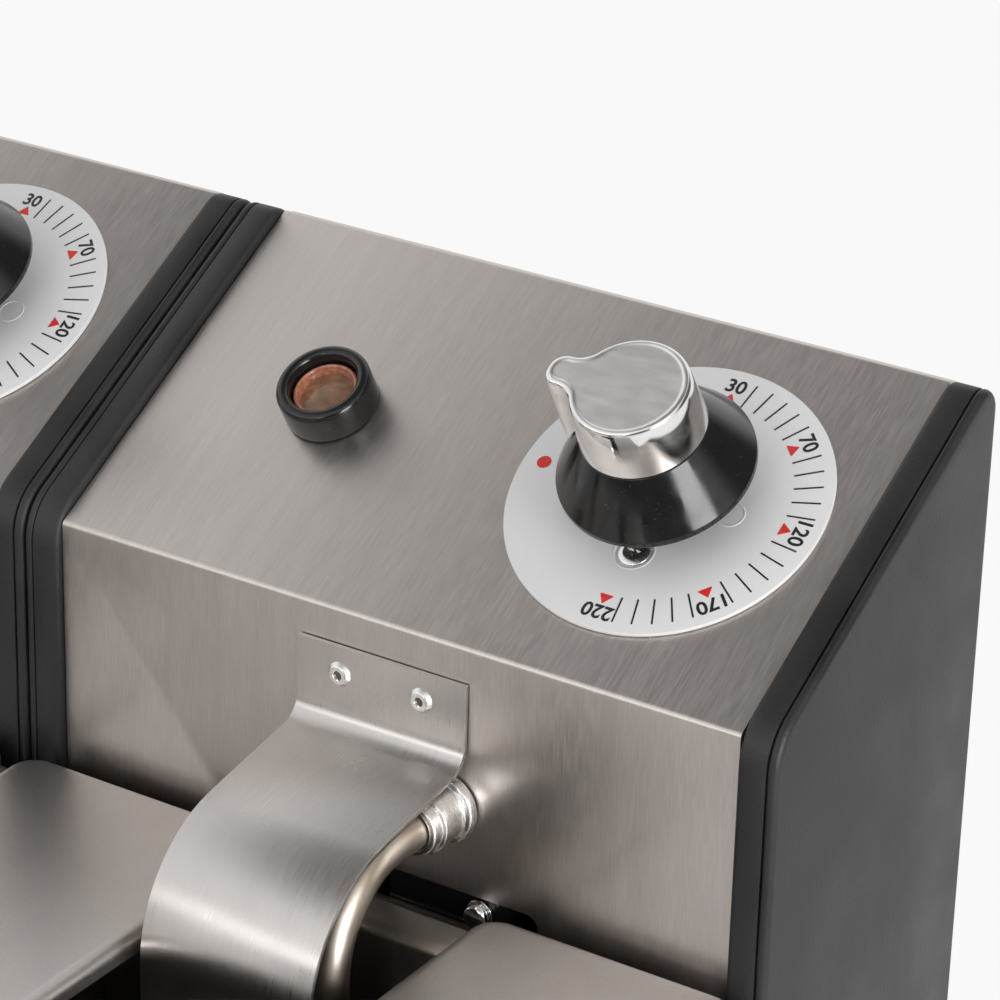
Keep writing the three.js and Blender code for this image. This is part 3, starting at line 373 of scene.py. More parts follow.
# %% Steels
def brushed_steel(name, tone, roughness, smear, grain=(2600, 170, 170), contrast=0.07, relief=0.0015):
    """Stainless sheet: short scratches square to x, faint long streaks and a little cloudiness."""
    made = Finish(name, tone, roughness, 1.0, Anisotropic=smear)
    scratches = made.noise(grain, 2)
    streaks = made.noise(tuple(0.1 * step for step in grain), 2)
    clouds = made.noise(11, 3)
    mixed = made.sum(made.level(scratches, 0.18, 0.62), made.level(streaks, 0.0, 0.2))
    mixed = made.sum(mixed, made.level(clouds, -0.1, 0.1))
    dark, light = (tuple(c * (1 + change) for c in tone) for change in (-contrast, contrast))
    made.tint(mixed, dark, light, (0, 1))
    cloudy = made.level(clouds, roughness - 0.02, roughness + 0.02)
    uneven = made.sum(made.level(scratches, -0.04, 0.04), cloudy)
    made.links.new(uneven, made.shader.inputs["Roughness"])
    made.bump(scratches, relief)
    made.grain_across((1, 0, 0))
    return made.material


HEAD_STEEL = brushed_steel("head_brushed_steel", (0.61, 0.565, 0.535), 0.40, 0.50, contrast=0.16)
GUARD_STEEL = brushed_steel("guard_brushed_steel", (0.60, 0.57, 0.55), 0.31, 0.60,
                            contrast=0.08, relief=0.0008)
CASING_STEEL = brushed_steel("casing_brushed_steel", (0.59, 0.56, 0.54), 0.35, 0.60)
LID_STEEL = brushed_steel("lid_satin_steel", (0.60, 0.57, 0.55), 0.40, 0.20, (1700, 900, 900), 0.10)


def drawn_steel():
    """The tanks are deep-drawn: satin with faint waves, and a little darker from use."""
    made = Finish("tank_drawn_steel", (0.56, 0.53, 0.49), 0.30, 1.0)
    waves = made.noise((60, 60, 25), 3)
    made.tint(waves, (0.48, 0.44, 0.39), (0.62, 0.59, 0.55))
    made.rough(waves, 0.24, 0.36)
    made.bump(made.noise(900, 2), 0.006)
    return made.material


def heat_tinted_steel():
    """Element tube: hot runs leave a straw tint."""
    made = Finish("element_tinted_steel", (0.50, 0.46, 0.41), 0.34, 1.0)
    stains = made.noise(55, 4)
    made.tint(stains, (0.36, 0.29, 0.21), (0.62, 0.58, 0.52), (0.32, 0.66))
    made.rough(stains, 0.28, 0.44)
    made.bump(made.noise(1400, 2), 0.008)
    return made.material


def turned_metal():
    """Fittings and rivets: bright aluminium with tool marks."""
    made = Finish("bright_turned_metal", (0.78, 0.77, 0.75), 0.26, 1.0)
    marks = made.noise((400, 3600, 400), 2)
    made.tint(marks, (0.76, 0.75, 0.73), (0.86, 0.85, 0.83))
    made.rough(marks, 0.22, 0.32)
    made.bump(marks, 0.003)
    return made.material


def chrome_plate(name, roughness, haze):
    """Bright plating: almost a mirror, with faint wiping marks."""
    made = Finish(name, (0.80, 0.79, 0.78), roughness, 1.0)
    wipes = made.noise((140, 420, 420), 4)
    made.tint(wipes, (0.74, 0.73, 0.72), (0.84, 0.83, 0.82))
    made.rough(wipes, roughness, roughness + haze, (0.35, 0.75))
    made.bump(made.noise(160, 2), 0.006)
    return made.material


TANK_STEEL = drawn_steel()
ELEMENT_STEEL = heat_tinted_steel()
TURNED_METAL = turned_metal()
CHROME = chrome_plate("knob_chrome", 0.07, 0.10)
CHROME_TOP = chrome_plate("knob_chrome_top", 0.36, 0.10)
WIRE_PLATE = chrome_plate("wire_nickel", 0.14, 0.12)


# %% Plastics, rubber and print
def leather_black():
    """Moulded cheeks: charcoal plastic with a fine leather grain."""
    made = Finish("grained_black_plastic", (0.022, 0.022, 0.023), 0.46)
    cells = made.nodes.new("ShaderNodeTexVoronoi")
    cells.feature = "SMOOTH_F1"
    cells.inputs["Scale"].default_value = 1.0
    made.links.new(made.stretched(1500), cells.inputs["Vector"])
    dust = made.noise(45, 4)
    made.tint(dust, (0.010, 0.010, 0.011), (0.022, 0.022, 0.023))
    made.rough(dust, 0.40, 0.56)
    made.bump(cells.outputs["Distance"], 0.05)
    return made.material


def polished_black():
    """Knob skirt, bezels and grips: glossy moulding with fine handling marks and specks of dust."""
    made = Finish("polished_black_plastic", (0.010, 0.010, 0.010), 0.13)
    marks = made.noise(260, 5)
    specks = made.noise(2400, 1)
    made.tint(specks, (0.008, 0.008, 0.008), (0.07, 0.07, 0.07), (0.72, 0.78))
    made.rough(marks, 0.09, 0.22)
    made.bump(marks, 0.01)
    return made.material


def soft_rubber():
    made = Finish("black_rubber", (0.018, 0.018, 0.018), 0.72)
    made.rough(made.noise(70, 3), 0.62, 0.82)
    made.bump(made.noise(1800, 2), 0.03)
    return made.material


def dial_face():
    """Dial plate: pale grey anodised sheet, satin, under the print."""
    made = Finish("dial_pale_grey", (0.92, 0.92, 0.92), 0.45)
    mottle = made.noise(30, 4)
    made.tint(mottle, (0.77, 0.77, 0.775), (0.82, 0.82, 0.82))
    made.rough(made.noise(900, 2), 0.36, 0.50)
    return made.material


def print_ink(name, color):
    made = Finish(name, color, 0.45)
    wear = made.noise(1300, 2)
    made.tint(wear, tuple(c * 0.85 for c in color), tuple(min(1, c * 1.15 + 0.004) for c in color))
    return made.material


def amber_window():
    """Pilot lamp window, unlit: brown-amber plastic with a dull heart."""
    made = Finish("amber_lamp_window", (0.30, 0.15, 0.07), 0.20, Coat_Weight=0.6, Coat_Roughness=0.08)
    swirl = made.noise(420, 3)
    made.tint(swirl, (0.20, 0.115, 0.06), (0.40, 0.20, 0.11))
    made.bump(made.noise(800, 2), 0.02)
    return made.material


def amber_edge():
    made = Finish("amber_lamp_rim", (0.50, 0.19, 0.11), 0.18, Coat_Weight=0.6)
    made.tint(made.noise(900, 2), (0.36, 0.12, 0.07), (0.62, 0.27, 0.17))
    return made.material


def moulded(name, color, roughness):
    made = Finish(name, color, roughness)
    made.rough(made.noise(90, 3), roughness - 0.06, roughness + 0.08)
    made.bump(made.noise(1500, 2), 0.02)
    return made.material


GRAINED_BLACK = leather_black()
GLOSS_BLACK = polished_black()
RUBBER = soft_rubber()
DIAL_GREY = dial_face()
INK_BLACK = print_ink("dial_black_ink", (0.012, 0.012, 0.012))
INK_RED = print_ink("dial_red_ink", (0.74, 0.028, 0.022))
AMBER = amber_window()
AMBER_EDGE = amber_edge()
# Dark inner plastic for the controls; the same finish also fills the rivets' hollows as painted shade.
INNER_PLASTIC_AND_HOLE_SHADE = moulded("inner_control_plastic", (0.10, 0.09, 0.075), 0.55)
RESET_RED = moulded("reset_button_red", (0.42, 0.02, 0.018), 0.38)
print("finishes:", len(bpy.data.materials))

# %% [markdown]
# ## Drawing helpers
# Sheet and moulded pieces all start as an outline whose corners are rounded by arcs. An outline can be
# shrunk evenly, and rings of shrunk outlines, stacked and joined, give rolled edges and hollow shells.
# Turned pieces are a profile swept round an axis. All of them end as closed skins that face outwards.


# %% Outlines
def rounded(corners, steps=6):
    """The points of a closed outline through (a, b, radius) corners, each turned into an arc."""
    outline = []
    for i, (a, b, radius) in enumerate(corners):
        here = Vector((a, b))
        back = (Vector(corners[i - 1][:2]) - here).normalized()
        ahead = (Vector(corners[(i + 1) % len(corners)][:2]) - here).normalized()
        radius = max(radius, 0.01)
        half = back.angle(ahead) / 2
        centre = here + (back + ahead).normalized() * radius / math.sin(half)
        first = here + back * radius / math.tan(half) - centre
        last = here + ahead * radius / math.tan(half) - centre
        sweep = math.atan2(first.x * last.y - first.y * last.x, first.dot(last))
        start = math.atan2(first.y, first.x)
        for k in range(steps + 1):
            angle = start + sweep * k / steps
            outline.append((centre.x + radius * math.cos(angle), centre.y + radius * math.sin(angle)))
    return outline


def shrunk(corners, inset):
    """The same anticlockwise corners with every side moved inwards."""
    moved = []
    for i, (a, b, radius) in enumerate(corners):
        here = Vector((a, b))
        arrive = (here - Vector(corners[i - 1][:2])).normalized()
        leave = (Vector(corners[(i + 1) % len(corners)][:2]) - here).normalized()
        inward = Vector((-arrive.y, arrive.x)) + Vector((-leave.y, leave.x))
        inward /= 1 + arrive.dot(leave)
        outer_corner = arrive.x * leave.y - arrive.y * leave.x > 0
        moved.append((*(here + inward * inset), radius - inset if outer_corner else radius + inset))
    return moved


def box_plan(low, high, radius, behind=None):
    """Corners of the rectangle between two points; behind is the radius of the back two."""
    last = radius if behind is None else behind
    return [(low.x, low.y, radius), (high.x, low.y, radius), (high.x, high.y, last), (low.x, high.y, last)]


def rectangle(width, length, radius, middle=(0, 0)):
    a, b = middle
    return [(a - width / 2, b - length / 2, radius), (a + width / 2, b - length / 2, radius),
            (a + width / 2, b + length / 2, radius), (a - width / 2, b + length / 2, radius)]


def square_outline(x0, y0, x1, y1):
    return [(x0, y0), (x1, y0), (x1, y1), (x0, y1)]


# %% Skins
def loft(rings, capped=True, joined=False):
    """Points and faces of a skin through rings that all have the same number of points."""
    count = len(rings[0])
    points = [point for ring in rings for point in ring]
    pairs = [(k, k + 1) for k in range(len(rings) - 1)]
    if joined:
        pairs.append((len(rings) - 1, 0))
    faces = [(a * count + i, a * count + (i + 1) % count, b * count + (i + 1) % count, b * count + i)
             for a, b in pairs for i in range(count)]
    if capped and not joined:
        faces.append(tuple(range(count)))
        faces.append(tuple(range((len(rings) - 1) * count, len(rings) * count)))
    return points, faces


def flat_ring(outline, height):
    return [(a, b, height) for a, b in outline]


def side_ring(outline, x):
    return [(x, a, b) for a, b in outline]


def slab(outline, low, high):
    """A flat outline pushed up from low to high."""
    return loft([flat_ring(outline, low), flat_ring(outline, high)])


def pushed(outline, left, right):
    """An outline drawn from the side and pushed across."""
    return loft([side_ring(outline, left), side_ring(outline, right)])


def turned(profile, segments=48, joined=False):
    """Sweep (radius, height) points round z; a profile that closes on itself is joined."""
    rings = []
    for radius, height in profile:
        rings.append([(radius * math.cos(2 * math.pi * k / segments),
                       radius * math.sin(2 * math.pi * k / segments), height) for k in range(segments)])
    return loft(rings, capped=False, joined=joined)


def soft_corners(profile, steps=3):
    """Round the (radius, height, rounding) corners of an open turning profile; its ends stay."""
    closed = rounded(profile, steps)
    inner = closed[steps + 1:-(steps + 1)]
    return [profile[0][:2], *inner, profile[-1][:2]]


def shade(mesh, sharp_from):
    mesh.shade_smooth()
    mesh.set_sharp_from_angle(angle=math.radians(sharp_from))


def put(name, skin, board, finish, sharp_from=32):
    """Make an object from a skin: place it by its board, close its seams and turn its faces out."""
    points, faces = skin
    mesh = bpy.data.meshes.new(name)
    mesh.from_pydata([board @ Vector(point) for point in points], [], faces)
    work = bmesh.new()
    work.from_mesh(mesh)
    bmesh.ops.remove_doubles(work, verts=work.verts, dist=1e-6)
    bmesh.ops.recalc_face_normals(work, faces=work.faces)
    work.to_mesh(mesh)
    work.free()
    shade(mesh, sharp_from)
    mesh.materials.append(finish)
    thing = bpy.data.objects.new(name, mesh)
    scene.collection.objects.link(thing)
    return thing


def settle(thing, sharp_from=32):
    """Turn what an object's modifiers make into its plain mesh."""
    bpy.context.view_layer.update()
    live = thing.evaluated_get(bpy.context.evaluated_depsgraph_get())
    mesh = bpy.data.meshes.new_from_object(live)
    thing.modifiers.clear()
    thing.data = mesh
    shade(mesh, sharp_from)
    return thing


def carve(thing, *cutters):
    """Cut other objects out of one, and throw the cutters away."""
    for cutter in cutters:
        saw = thing.modifiers.new("cut", "BOOLEAN")
        saw.operation = "DIFFERENCE"
        saw.solver = "EXACT"
        saw.object = cutter
    settle(thing)
    for cutter in cutters:
        bpy.data.objects.remove(cutter)
    return thing


def break_edges(thing, width, sharp_from=32, angle=40):
    """Take the knife edge off a cut sheet or a moulding."""
    bevel = thing.modifiers.new("edges", "BEVEL")
    bevel.width = width * MM
    bevel.segments = 2
    bevel.limit_method = "ANGLE"
    bevel.angle_limit = math.radians(angle)
    return settle(thing, sharp_from)


def fit(thing, body, slot, *nodes):
    """Hand a finished piece to the frame."""
    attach(thing, body)
    if nodes:
        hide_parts(*nodes)
    return thing


def merged(*skins):
    """Several skins as one."""
    points, faces = [], []
    for more_points, more_faces in skins:
        faces += [tuple(i + len(points) for i in face) for face in more_faces]
        points += more_points
    return points, faces


def moved(skin, matrix):
    points, faces = skin
    return [tuple(matrix @ Vector(point)) for point in points], faces


def dress(unit, name, skin, finish, group, slot, *pieces, board=None, sharp_from=32):
    """Put a skin on a unit, on its own board unless told otherwise, and hand it to the frame."""
    made = put(f"{unit.name}_{name}", skin, unit.board if board is None else board, finish, sharp_from)
    return unit.fit(made, group, slot, *pieces)


FLAT = Matrix.Identity(4)
LYING = Matrix.Rotation(math.pi / 2, 4, "X")        # turned pieces that face the front
REARWARD = Matrix.Rotation(-math.pi / 2, 4, "X")    # turned pieces that face the back
print("outline of a 10 mm square with 2 mm corners:", len(rounded(rectangle(10, 10, 2))), "points")

# %% [markdown]
# ## Node recipes
# What repeats or follows a path is made by Geometry Nodes. A small class writes a tree and remembers its
# named inputs. The first recipe bends pipe and wire: a thread of edges becomes a curve, and a circle is
# swept along it. The second sets one copy of a small piece on every point of a thread.


# %% Recipe helper
class Recipe:
    """A Geometry Nodes tree with named inputs."""

    def __init__(self, name, **inputs):
        self.tree = bpy.data.node_groups.new(name, "GeometryNodeTree")
        face = self.tree.interface
        face.new_socket("Geometry", in_out="INPUT", socket_type="NodeSocketGeometry")
        face.new_socket("Geometry", in_out="OUTPUT", socket_type="NodeSocketGeometry")
        for socket, kind in inputs.items():
            face.new_socket(socket, in_out="INPUT", socket_type="NodeSocket" + kind)
        self.given = self.tree.nodes.new("NodeGroupInput").outputs

    def add(self, kind, **wires):
        """Add a node; each wire is a socket or a value for the input of that name."""
        node = self.tree.nodes.new(kind)
        for name, wire in wires.items():
            plug(self.tree, node.inputs[name.replace("_", " ")], wire)
        return node

    def serve(self, geometry):
        """End the tree: real geometry, smooth, in the given finish."""
        real = self.add("GeometryNodeRealizeInstances", Geometry=geometry).outputs[0]
        smooth = self.add("GeometryNodeSetShadeSmooth", Geometry=real).outputs[0]
        dressed = self.add("GeometryNodeSetMaterial", Geometry=smooth, Material=self.given["Finish"])
        self.tree.links.new(dressed.outputs[0], self.tree.nodes.new("NodeGroupOutput").inputs[0])
        return self


def cook(recipe, thing, sharp_from=32, **inputs):
    """Run a recipe on an object with its inputs set, and keep the result as a plain mesh."""
    modifier = thing.modifiers.new(recipe.tree.name, "NODES")
    modifier.node_group = recipe.tree
    for item in recipe.tree.interface.items_tree:
        if item.in_out == "INPUT" and item.name in inputs:
            modifier[item.identifier] = inputs[item.name]
    return settle(thing, sharp_from)


# %% Pipe and copy recipes
pipe = Recipe("bent_pipe", Radius="Float", Sides="Int", Finish="Material")
pipe_curve = pipe.add("GeometryNodeMeshToCurve", Mesh=pipe.given["Geometry"]).outputs[0]
pipe_round = pipe.add("GeometryNodeCurvePrimitiveCircle", Resolution=pipe.given["Sides"],
                      Radius=pipe.given["Radius"]).outputs[0]
pipe.serve(pipe.add("GeometryNodeCurveToMesh", Curve=pipe_curve, Profile_Curve=pipe_round,
                    Fill_Caps=True).outputs[0])

copies = Recipe("copies_on_points", Copy="Object", Finish="Material")
copy_info = copies.add("GeometryNodeObjectInfo", Object=copies.given["Copy"])
copies.serve(copies.add("GeometryNodeInstanceOnPoints", Points=copies.given["Geometry"],
                        Instance=copy_info.outputs["Geometry"]).outputs[0])


def thread(name, lines, board):
    """An object of bare edges through lists of points; a list that ends where it starts is a loop."""
    mesh = bpy.data.meshes.new(name)
    points, edges = [], []
    for line in lines:
        loop = len(line) > 2 and (Vector(line[0]) - Vector(line[-1])).length < 1e-6
        stops = line[:-1] if loop else line
        first = len(points)
        points += [board @ Vector(point) for point in stops]
        edges += [(first + k, first + k + 1) for k in range(len(stops) - 1)]
        if loop:
            edges.append((first + len(stops) - 1, first))
    mesh.from_pydata(points, edges, [])
    thing = bpy.data.objects.new(name, mesh)
    scene.collection.objects.link(thing)
    return thing


def bent(corners, steps=8):
    """The middle line through (x, y, z, bend radius) corners."""
    points = [Vector(corners[0][:3])]
    for before, (x, y, z, radius), after in zip(corners, corners[1:], corners[2:]):
        here = Vector((x, y, z))
        travel = (here - Vector(before[:3])).normalized()
        ahead = (Vector(after[:3]) - here).normalized()
        turn = travel.angle(ahead)
        start = here - travel * radius * math.tan(turn / 2)
        inward = (ahead - travel * ahead.dot(travel)).normalized()
        points += [start + travel * radius * math.sin(turn * k / steps)
                   + inward * radius * (1 - math.cos(turn * k / steps)) for k in range(steps + 1)]
    points.append(Vector(corners[-1][:3]))
    return [tuple(point) for point in points]


def piping(name, lines, radius, board, finish, sides=16):
    return cook(pipe, thread(name, lines, board), 50, Radius=radius * MM, Sides=sides, Finish=finish)


def spread(name, copy, points, board, finish, sharp_from=32):
    """One copy of a small piece on each point; the copy itself is thrown away."""
    made = cook(copies, thread(name, [[point] for point in points], board), sharp_from,
                Copy=copy, Finish=finish)
    bpy.data.objects.remove(copy)
    return made


def board_turn(board):
    """A board without its place, for a small piece that is set on points later."""
    turn = board.copy()
    turn.translation = (0, 0, 0)
    return turn


print("recipes:", [group.name for group in bpy.data.node_groups])

# %% [markdown]
# ## Head panels
# One stainless sheet is folded over the front and the slope of each head, with a tight bend that catches
# the light as a bright line. It is an outline drawn from the side and pushed across, and a window is
# then cut for the seating switch. Its cut edges are broken so that they show a fine bright line too.

# %% Head panels
FOLD_BEND = 1.5
REAR_FLANGE = 10
WINDOW_WIDTH, WINDOW_HEIGHT, WINDOW_CORNER = 74, 7.4, 3
WINDOW_DROP = 56.9      # fold to the middle of the switch window


def head_panel(unit):
    low, high = unit.box("head_shell")
    slope = math.tan(unit.tilt)
    under = SHEET / math.cos(unit.tilt)
    back, top = high.y, unit.fold + high.y * slope
    side = rounded([
        (0, low.z, 0), (SHEET, low.z, 0),
        (SHEET, unit.fold + SHEET * slope - under, FOLD_BEND - SHEET),
        (back - SHEET, top - SHEET * slope - under, FOLD_BEND - SHEET),
        (back - SHEET, top - REAR_FLANGE, 0), (back, top - REAR_FLANGE, 0),
        (back, top, FOLD_BEND), (0, unit.fold, FOLD_BEND)], 10)
    panel = put(f"{unit.name}_head_panel", pushed(side, low.x, high.x), unit.board, HEAD_STEEL)
    window = rounded(rectangle(WINDOW_WIDTH, WINDOW_HEIGHT, WINDOW_CORNER))
    hole = moved(slab(window, -4, 4), Matrix.Translation((0, 0, unit.fold - WINDOW_DROP)) @ LYING)
    carve(panel, put("window_saw", hole, unit.board, HEAD_STEEL))
    break_edges(panel, 0.22)
    return unit.fit(panel, "head", "head_steel", "head_shell")


for unit in units:
    panel = head_panel(unit)
    print(panel.name, len(panel.data.polygons), "faces")

# %% [markdown]
# ## Cheeks
# A moulded black cheek closes each end of a head. Seen from the front it is a wide band, a fine groove
# and a narrow rounded lip. Rings of the side outline are shrunk by what the band's section asks for and
# stacked across its width, so the section bends round the cheek's corners by itself.

# %% Cheeks
# (distance from the steel side, how far the outline is shrunk there)
CHEEK_SECTION = [(0.0, 1.3), (0.12, 0.85), (0.4, 0.42), (0.8, 0.12), (1.3, 0.0), (6.0, 0.0), (6.22, 0.12),
                 (6.34, 0.75), (6.56, 0.75), (6.68, 0.22), (6.9, 0.04), (7.2, 0.0), (7.55, 0.05),
                 (7.95, 0.22), (8.3, 0.52), (8.55, 0.9), (8.7, 1.4)]
CHEEK_FRONT_BEND, CHEEK_BACK_BEND, CHEEK_FOOT_BEND = 12, 5, 2


def cheek(unit, side):
    low, high = unit.box(f"cheek_{side}")
    slope = math.tan(unit.tilt)
    lift = -low.y / math.cos(unit.tilt)
    outline = [(low.y, low.z, CHEEK_FOOT_BEND), (high.y, low.z, CHEEK_FOOT_BEND),
               (high.y, unit.fold + high.y * slope + lift, CHEEK_BACK_BEND),
               (low.y, unit.fold + low.y * slope + lift, CHEEK_FRONT_BEND)]
    outward = 1 if side == "right" else -1
    steel_side = low.x if side == "right" else high.x
    rings = [side_ring(rounded(shrunk(outline, inset), 12), steel_side + outward * across)
             for across, inset in CHEEK_SECTION]
    return dress(unit, f"{side}_cheek", loft(rings), GRAINED_BLACK, "head", "grained_black",
                 f"cheek_{side}", sharp_from=45)


for unit in units:
    for side in ("left", "right"):
        cheek(unit, side)
print("cheeks:", 2 * len(units), "each of", len(CHEEK_SECTION), "rings")

# %% [markdown]
# ## Back covers
# The back of a head is a plain cover with pressed louvres over its vent slots and a screw near each
# corner. One louvre and one screw are made, and the copy recipe sets them on their points.

# %% Back covers
LOUVRES, LOUVRE_PITCH, LOUVRE_WIDTH, LOUVRE_SLOT = 6, 9, 70, 3.2
LOUVRE_END = 0.8        # closed end of a louvre
FIRST_LOUVRE = 22       # cover's top edge down to the first slot
SCREW_RADIUS = 3.2
RESET_HOLE, GLAND_HOLE = 4.3, 5.9
SCREW_IN = 7            # screws in from the cover's sides
SCREW_UP, SCREW_DOWN = 12, 8        # and from its lower and upper edges


def louvre(board):
    """A pressed scoop: closed above and at its ends, open below."""
    blade = rounded([(0, 3.4, 0), (0, 2.6, 0), (1.7, 0.6, 1.2), (1.7, -1.8, 0), (2.4, -1.8, 0),
                     (2.4, 1.0, 1.6)], 4)
    end = rounded([(0, 3.4, 0), (0, -1.8, 0), (2.4, -1.8, 0), (2.4, 1.0, 1.6)], 4)
    half = LOUVRE_WIDTH / 2
    skin = merged(pushed(blade, -half, half), pushed(end, -half - LOUVRE_END, -half),
                  pushed(end, half, half + LOUVRE_END))
    return put("louvre", skin, board_turn(board), HEAD_STEEL)


def cross_saws(width, length, low, high, turn, board):
    """Two slabs that cut a cross recess into a screw's head."""
    return [put("cross_saw", moved(slab(rounded(rectangle(w, l, 0.1), 1), low, high), turn), board,
                TURNED_METAL) for w, l in ((width, length), (length, width))]


def pan_screw(board, turn):
    """A pan-head screw with a cross recess, head towards the turn's z."""
    r = SCREW_RADIUS
    dome = turned(soft_corners([(0, 1.9, 0), (0.5 * r, 1.85, 0.8), (r, 0.9, 0.5), (r, -0.3, 0),
                                (0, -0.3, 0)]), 28)
    head = put("screw", moved(dome, turn), board_turn(board), TURNED_METAL)
    return carve(head, *cross_saws(0.7, 3.2, 0.9, 3, turn, board_turn(board)))


def back_cover(unit):
    low, high = unit.box("head_back_cover")
    inner = high.y - SHEET
    side = rounded([(low.y, low.z, 0), (high.y, low.z, FOLD_BEND), (high.y, high.z, 0), (inner, high.z, 0),
                    (inner, low.z + SHEET, 0.5), (low.y, low.z + SHEET, 0)], 4)
    cover = put(f"{unit.name}_back_cover", pushed(side, low.x, high.x), unit.board, HEAD_STEEL)
    heights = [high.z - FIRST_LOUVRE - k * LOUVRE_PITCH for k in range(LOUVRES)]
    slots = [pushed(square_outline(inner - 1, z - LOUVRE_SLOT / 2, high.y + 1, z + LOUVRE_SLOT / 2),
                    -LOUVRE_WIDTH / 2, LOUVRE_WIDTH / 2) for z in heights]
    holes = []
    for piece, radius in (("reset_button", RESET_HOLE), ("cord_gland", GLAND_HOLE)):
        rod = turned([(0, -4), (radius, -4), (radius, 4), (0, 4)], 32)
        holes.append(moved(rod, unit.spot(piece, high.y) @ REARWARD))
    carve(cover, put("vent_saw", merged(*slots, *holes), unit.board, HEAD_STEEL))
    unit.fit(cover, "head", "head_steel", "head_back_cover")
    hoods = spread(f"{unit.name}_louvres", louvre(unit.board), [(0, high.y, z) for z in heights],
                   unit.board, HEAD_STEEL)
    unit.fit(hoods, "head", "head_steel")
    corners = [(x, high.y + 0.05, z) for x in (low.x + SCREW_IN, high.x - SCREW_IN)
               for z in (low.z + SCREW_UP, high.z - SCREW_DOWN)]
    screws = spread(f"{unit.name}_cover_screws", pan_screw(unit.board, REARWARD), corners, unit.board,
                    TURNED_METAL)
    unit.fit(screws, "head", "element_steel")


for unit in units:
    back_cover(unit)
print("back covers with", LOUVRES, "louvres each")

# %% [markdown]
# ## Dials
# Each dial is a thin pale disc glued to the slope. Its print is laid on as very thin slabs, so the edges
# stay crisp from close by: a black tick every seven and a half degrees, red triangles at the numbers, and
# a red dot for off. The ticks are one slab that Geometry Nodes turns round the dial, leaving out the
# places of the numbers.

# %% Dial sizes
DIAL_RADIUS, DIAL_LOW, DIAL_TOP, DIAL_BORE = 33, 0.3, 1.2, 5
INK = 0.05
TICK_IN, TICK_OUT, TICK_WIDTH, TICK_PITCH = 24.8, 30.7, 0.36, 7.5
TICK_PLACES, TICK_SKIP = 23, 6      # every sixth place is a number's
NUMBERS = {"30": 90, "70": 45, "120": 0, "170": -45, "220": -90}
NUMBER_RADIUS, NUMBER_HEIGHT = 29.1, 3.1
DIGIT_SHARE = 0.70      # a digit's height as a share of the font's size
MARK_IN, MARK_OUT, MARK_HALF = 24.9, 27.2, 1.55
OFF_RADIUS, OFF_DOT = 28.4, 1.5
FIXING_RADIUS = 14      # the control's two fixings from the dial's middle
SINK_LOW = 0.75         # floor of the fixing screw's sink

round_dial = Recipe("marks_round_dial", Copy="Object", Places="Int", Pitch="Float", Skip="Int",
                    Finish="Material")
place_index = round_dial.add("GeometryNodeInputIndex").outputs[0]
place_line = round_dial.add("GeometryNodeMeshLine", Count=round_dial.given["Places"], Offset=(0, 0, 0))
place_angle = maths(round_dial.tree, "MULTIPLY", place_index, round_dial.given["Pitch"])
place_turn = round_dial.add("ShaderNodeCombineXYZ", Z=place_angle).outputs[0]
next_index = maths(round_dial.tree, "ADD", place_index, 1.0)
at_number = maths(round_dial.tree, "MODULO", next_index, round_dial.given["Skip"])
mark_copy = round_dial.add("GeometryNodeObjectInfo", Object=round_dial.given["Copy"])
round_dial.serve(round_dial.add("GeometryNodeInstanceOnPoints", Points=place_line.outputs[0],
                                Selection=at_number, Instance=mark_copy.outputs["Geometry"],
                                Rotation=place_turn).outputs[0])


def dial_disc(unit):
    disc = rounded([(DIAL_BORE, DIAL_LOW, 0.05), (DIAL_RADIUS, DIAL_LOW, 0.2),
                    (DIAL_RADIUS, DIAL_TOP, 0.2), (DIAL_BORE, DIAL_TOP, 0.05)], 3)
    plate = put(f"{unit.name}_dial", turned(disc, 128, joined=True), unit.dial_board, DIAL_GREY)
    sink = turned([(0, SINK_LOW), (4.0, SINK_LOW), (4.1, 3), (0, 3)], 40)
    carve(plate, put("sink_saw", moved(sink, Matrix.Translation((0, -FIXING_RADIUS, 0))),
                     unit.dial_board, DIAL_GREY))
    return unit.fit(plate, "head", "dial_print", "dial_plate")


def dial_ticks(unit):
    first = Matrix.Rotation(math.radians(90 - TICK_PITCH), 4, "Z")
    plan = rectangle(TICK_OUT - TICK_IN, TICK_WIDTH, 0.1, ((TICK_IN + TICK_OUT) / 2, 0))
    mark = moved(slab(rounded(plan, 1), DIAL_TOP - INK, DIAL_TOP + INK), first)
    tick = put("tick", mark, FLAT, INK_BLACK)
    ticks = cook(round_dial, put(f"{unit.name}_dial_ticks", ([], []), FLAT, INK_BLACK), Copy=tick,
                 Places=TICK_PLACES, Pitch=math.radians(-TICK_PITCH), Skip=TICK_SKIP, Finish=INK_BLACK)
    bpy.data.objects.remove(tick)
    ticks.data.transform(unit.dial_board)
    return unit.fit(ticks, "head", "dial_print")


def dial_number(text, angle):
    """The skin of a number whose top points outwards."""
    words = bpy.data.curves.new(f"number_{text}", "FONT")
    words.body = text
    words.align_x = "CENTER"
    words.align_y = "CENTER"
    words.size = NUMBER_HEIGHT / DIGIT_SHARE
    words.offset = 0.09
    words.extrude = INK
    words.resolution_u = 4
    writer = bpy.data.objects.new(f"number_{text}", words)
    scene.collection.objects.link(writer)
    bpy.context.view_layer.update()
    mesh = bpy.data.meshes.new_from_object(writer.evaluated_get(bpy.context.evaluated_depsgraph_get()))
    bpy.data.objects.remove(writer)
    places = [vertex.co.copy() for vertex in mesh.vertices]
    middle = Vector([(min(p[k] for p in places) + max(p[k] for p in places)) / 2 for k in range(3)])
    turn = math.radians(angle)
    spot = Matrix.Rotation(turn - math.pi / 2, 4, "Z") @ Matrix.Translation((0, NUMBER_RADIUS, DIAL_TOP))
    faces = [tuple(polygon.vertices) for polygon in mesh.polygons]
    skin = moved(([tuple(place - middle) for place in places], faces), spot)
    bpy.data.meshes.remove(mesh)
    return skin


